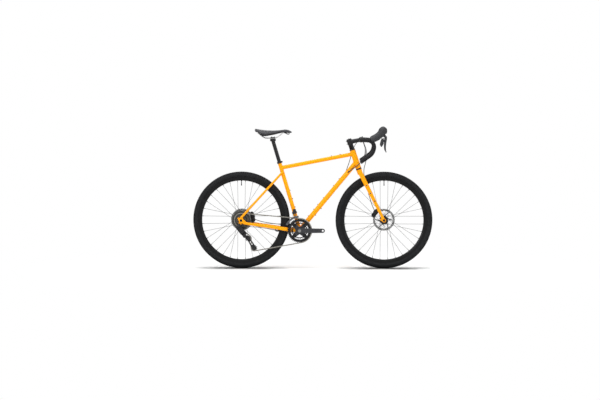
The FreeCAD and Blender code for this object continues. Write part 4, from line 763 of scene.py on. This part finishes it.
def asTube(curve, radius, roundness):
    curve.bevel_depth = radius
    curve.bevel_resolution = roundness
    placed(curve.name, curve)
    bpy.ops.object.convert(target="MESH")
    tube = bpy.context.object
    bpy.ops.object.mode_set(mode="EDIT")
    closeUp()
    bpy.ops.object.mode_set(mode="OBJECT")
    return tube


def makeHose(name, settings):
    points = [Vector(point) / 1000 for point in settings["points"]]
    curve, route = startCurve(name, "NURBS", points)
    route.order_u = 3
    route.use_endpoint_u = True
    route.resolution_u = tubeLook["steps"]
    curve.use_fill_caps = True
    tube = asTube(curve, settings["radius"], tubeLook["roundness"])
    dress(tube, settings["finish"])
    smoothed(tube, tubeLook["smooth"])
    if len(settings["bodies"]) == 1:
        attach(tube, settings["bodies"][0])
    else:
        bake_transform(tube)
    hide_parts(settings["node"])


for name, settings in hoses.items():
    makeHose(name, {**hoseLook, **settings})
for name, hand in (("leftSaddleRail", 1), ("rightSaddleRail", -1)):
    makeHose(name, {**rail, "points": [(x, y * hand, z) for x, y, z in railPoints]})
print("hoses and rails laid")


# Weld beads where the frame tubes meet

tubing = {"seatAngle": 73.3, "headAngle": 71.5, "forkOffset": 0.057, "topUp": 0.531, "downUp": 0.468, "seatUp": 0.478,
          "top": 0.0143, "down": 0.0175, "seat": 0.0143, "head": 0.021, "shell": 0.020}


def leaning(degrees):
    return Vector((-math.cos(math.radians(degrees)), 0, math.sin(math.radians(degrees))))


seatUp = leaning(tubing["seatAngle"])
steerUp = leaning(tubing["headAngle"])
steerFoot = frontAxle - Vector((steerUp.z, 0, -steerUp.x)) * tubing["forkOffset"]
topJoint = steerFoot + steerUp * tubing["topUp"]
downJoint = steerFoot + steerUp * tubing["downUp"]
topStart = crankAxis + seatUp * tubing["seatUp"]
sideways = Vector((0, 1, 0))
weld = {"radius": 0.0019, "points": 150, "ripple": 0.16, "ripples": 44, "roundness": 2, "smooth": 60}
weldSeams = {  # joint, towards, tube radius, crossed axis, crossed radius
    "topHeadWeld": (topJoint, topStart, tubing["top"], steerUp, tubing["head"]),
    "downHeadWeld": (downJoint, crankAxis, tubing["down"], steerUp, tubing["head"]),
    "topSeatWeld": (topStart, topJoint, tubing["top"], seatUp, tubing["seat"]),
    "downShellWeld": (crankAxis, downJoint, tubing["down"], sideways, tubing["shell"]),
    "seatShellWeld": (crankAxis, topStart, tubing["seat"], sideways, tubing["shell"]),
}


def makeWeld(name, joint, towards, tubeRadius, crossed, crossedRadius):
    along = (towards - joint).normalized()
    flat = along - crossed * along.dot(crossed)
    up = along.cross(sideways).normalized()
    angles = [2 * math.pi * place / weld["points"] for place in range(weld["points"])]
    points = []
    for angle in angles:  # where a line along the tube leaves the crossed one
        off = (sideways * math.cos(angle) + up * math.sin(angle)) * tubeRadius
        out = off - crossed * off.dot(crossed)
        root = out.dot(flat) ** 2 - flat.dot(flat) * (out.dot(out) - crossedRadius ** 2)
        run = (math.sqrt(max(root, 0)) - out.dot(flat)) / flat.dot(flat)
        points.append(joint + off + along * run)
    curve, seam = startCurve(name, "POLY", points)
    seam.use_cyclic_u = True
    for place, angle in zip(seam.points, angles):
        place.radius = 1 + weld["ripple"] * math.sin(angle * weld["ripples"])
    bead = asTube(curve, weld["radius"], weld["roundness"])
    dress(bead, "framePaint")
    smoothed(bead, weld["smooth"])
    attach(bead, "frame")


for name, settings in weldSeams.items():
    makeWeld(name, *settings)
print("welds laid")


# Outer chainring's web, inside its teeth

ringWeb = {"outer": 0.0785, "inner": 0.0655, "face": -0.0504, "thick": 0.0026, "sides": 128, "edge": 0.0005,
           "smooth": 35}


def crankDisc(name, sides, radius, depth, across):
    selectNone()
    bpy.ops.mesh.primitive_cylinder_add(vertices=sides, radius=radius, depth=depth,
                                        location=(crankAxis.x, across, crankAxis.z), rotation=(math.pi / 2, 0, 0))
    disc = bpy.context.object
    disc.name = name
    applyPlace()
    bpy.ops.object.mode_set(mode="EDIT")
    return disc


def makeRingWeb():
    web = crankDisc("outerRingWeb", ringWeb["sides"], ringWeb["outer"], ringWeb["thick"], ringWeb["face"])
    pickFaces(web, lambda normal: abs(normal.y) > 0.9)
    bpy.ops.mesh.inset(thickness=ringWeb["outer"] - ringWeb["inner"])
    bpy.ops.mesh.delete(type="FACE")
    bpy.ops.mesh.select_all(action="DESELECT")
    mesh = bmesh.from_edit_mesh(web.data)
    for edge in mesh.edges:
        edge.select = edge.is_boundary
    bmesh.update_edit_mesh(web.data)
    bpy.ops.mesh.bridge_edge_loops()
    bpy.ops.mesh.select_all(action="SELECT")
    bpy.ops.mesh.normals_make_consistent(inside=False)
    bpy.ops.object.mode_set(mode="OBJECT")
    bevelled(web, ringWeb["edge"])
    dress(web, "ringAlloy")
    smoothed(web, ringWeb["smooth"])
    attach(web, "crankset")


makeRingWeb()
print("chainring web set")


# Crank cap and the grommets where lines enter the down tube

crankCap = {"radius": 0.0115, "face": -0.0755, "depth": 0.0024, "sunk": 0.0004, "sides": 48, "rim": 0.0022,
            "dish": 0.0006, "rise": 0.0003, "socket": 0.0052, "socketLip": 0.0004, "socketDepth": 0.0016,
            "edge": 0.0003, "smooth": 35}
grommetRing = {"radius": 0.0036, "thick": 0.0014, "fromTube": 0.0178, "sides": (28, 10), "smooth": 60}
grommets = {"rearHoseGrommet": (0.2425, 0.0105, 0.7075), "rearShiftGrommet": (0.2655, -0.0205, 0.7135),
            "frontShiftGrommet": (0.2615, -0.0205, 0.7065)}


def makeCrankCap():
    middle = crankCap["face"] - crankCap["depth"] / 2 + crankCap["sunk"]
    cap = crankDisc("crankCap", crankCap["sides"], crankCap["radius"], crankCap["depth"], middle)
    pickFaces(cap, lambda normal: normal.y < -0.9)
    bpy.ops.mesh.inset(thickness=crankCap["rim"], depth=-crankCap["dish"])
    bpy.ops.mesh.inset(thickness=crankCap["radius"] - crankCap["rim"] - crankCap["socket"], depth=crankCap["rise"])
    bpy.ops.mesh.inset(thickness=crankCap["socketLip"], depth=-crankCap["socketDepth"])
    bpy.ops.object.mode_set(mode="OBJECT")
    bevelled(cap, crankCap["edge"])
    dress(cap, "capAlloy")
    smoothed(cap, crankCap["smooth"])
    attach(cap, "crankset")


def makeGrommet(name, at):
    along = (downJoint - crankAxis).normalized()
    onTube = crankAxis + along * (Vector(at) - crankAxis).dot(along)
    outward = Vector(at) - onTube
    selectNone()
    bpy.ops.mesh.primitive_torus_add(major_radius=grommetRing["radius"], minor_radius=grommetRing["thick"],
                                     major_segments=grommetRing["sides"][0], minor_segments=grommetRing["sides"][1],
                                     location=onTube + outward.normalized() * grommetRing["fromTube"],
                                     rotation=outward.to_track_quat("Z", "X").to_euler())
    grommet = bpy.context.object
    grommet.name = name
    applyPlace()
    dress(grommet, "hoseJacket")
    smoothed(grommet, grommetRing["smooth"])
    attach(grommet, "frame")


makeCrankCap()
for name, at in grommets.items():
    makeGrommet(name, at)
print("cap and grommets set")


# Stage, light and camera

stage = {"floorSize": 60, "floorShade": (0.93, 0.93, 0.93), "roughness": 0.9, "fadeFrom": 1.2, "fadeTo": 2.2,
         "paintedShadowReach": 0.15, "paintedShadowPower": 4.5, "paintedShadowSamples": 6}
room = {"light": 0.5, "shown": 1}
lamps = {
    "overhead": {"at": (0, -0.6, 3.4), "aim": (0, 0, 0.2), "size": (4.2, 2.6), "power": 92},
    "cameraSide": {"at": (-2.6, -4.2, 2.4), "aim": (0, 0, 0.5), "size": (2.6, 2.2), "power": 90},
    "frontSide": {"at": (3.4, -2.4, 1.8), "aim": (0.2, 0, 0.5), "size": (1.8, 2.2), "power": 30},
    "farSide": {"at": (0.6, 4.0, 2.6), "aim": (0, 0, 0.5), "size": (3.0, 2.0), "power": 42},
}
camera = {"at": (0.3, -14.0, 1.2), "aim": (-0.093, 0, 0.502), "lens": 114.6, "sensor": 36}


def shownRays(tree):
    rays = tree.nodes.new("ShaderNodeLightPath").outputs
    seen = numberNode(tree, "MAXIMUM", rays["Is Camera Ray"], rays["Is Glossy Ray"])
    return numberNode(tree, "MAXIMUM", seen, rays["Is Transmission Ray"])


def mixOut(tree, output, *values):
    mix = tree.nodes.new("ShaderNodeMixShader")
    linkInputs(tree, mix, values)
    tree.links.new(mix.outputs[0], tree.nodes[output].inputs["Surface"])


def makeFloor():
    bpy.ops.mesh.primitive_plane_add(size=stage["floorSize"], location=(0, 0, 0))
    floor = bpy.context.object
    floor.name = "floor"
    paleFloor = bpy.data.materials.new("paleFloor")
    paleFloor.use_nodes = True
    tree = paleFloor.node_tree
    shader = tree.nodes["Principled BSDF"]
    shader.inputs["Roughness"].default_value = stage["roughness"]
    shader.inputs["Specular IOR Level"].default_value = 0
    # painted shadow: the floor's colour goes dark where ambient occlusion finds the tyres close by
    paintedShadow = tree.nodes.new("ShaderNodeAmbientOcclusion")  # deepens the shade under the tyres
    paintedShadow.inputs["Distance"].default_value = stage["paintedShadowReach"]
    paintedShadow.samples = stage["paintedShadowSamples"]
    unshadowedShare = numberNode(tree, "POWER", paintedShadow.outputs["AO"], stage["paintedShadowPower"])
    tree.links.new(mixedColour(tree, unshadowedShare, (0, 0, 0), stage["floorShade"]), shader.inputs["Base Color"])
    fade = tree.nodes.new("ShaderNodeMapRange")  # white away from the bike
    fade.interpolation_type = "SMOOTHSTEP"
    fade.inputs["From Min"].default_value = stage["fadeFrom"]
    fade.inputs["From Max"].default_value = stage["fadeTo"]
    place = tree.nodes.new("ShaderNodeTexCoord").outputs["Object"]
    tree.links.new(vectorNode(tree, "LENGTH", place), fade.inputs["Value"])
    share = numberNode(tree, "MULTIPLY", fade.outputs["Result"], shownRays(tree))
    white = tree.nodes.new("ShaderNodeEmission")
    mixOut(tree, "Material Output", share, shader.outputs[0], white.outputs[0])
    floor.data.materials.append(paleFloor)


def lightRoom():
    world = bpy.data.worlds.new("paleRoom")
    bpy.context.scene.world = world
    world.use_nodes = True
    tree = world.node_tree
    dim = tree.nodes["Background"]
    bright = tree.nodes.new("ShaderNodeBackground")
    for back, strength in ((dim, room["light"]), (bright, room["shown"])):
        back.inputs["Color"].default_value = (1, 1, 1, 1)
        back.inputs["Strength"].default_value = strength
    mixOut(tree, "World Output", shownRays(tree), dim.outputs[0], bright.outputs[0])


def aim(obj, settings):
    sight = Vector(settings["aim"]) - Vector(settings["at"])
    obj.rotation_euler = sight.to_track_quat("-Z", "Y").to_euler()


makeFloor()
lightRoom()
for name, lamp in lamps.items():
    bpy.ops.object.light_add(type="AREA", location=lamp["at"])
    light = bpy.context.object
    light.name = name
    light.data.shape = "RECTANGLE"
    light.data.size, light.data.size_y = lamp["size"]
    light.data.energy = lamp["power"]
    aim(light, lamp)
bpy.ops.object.camera_add(location=camera["at"])
eye = bpy.context.object
eye.name = "photoCamera"
eye.data.lens = camera["lens"]
eye.data.sensor_width = camera["sensor"]
aim(eye, camera)
bpy.context.scene.camera = eye
bpy.context.scene.view_settings.view_transform = "Standard"
print("stage, lamps and camera set")
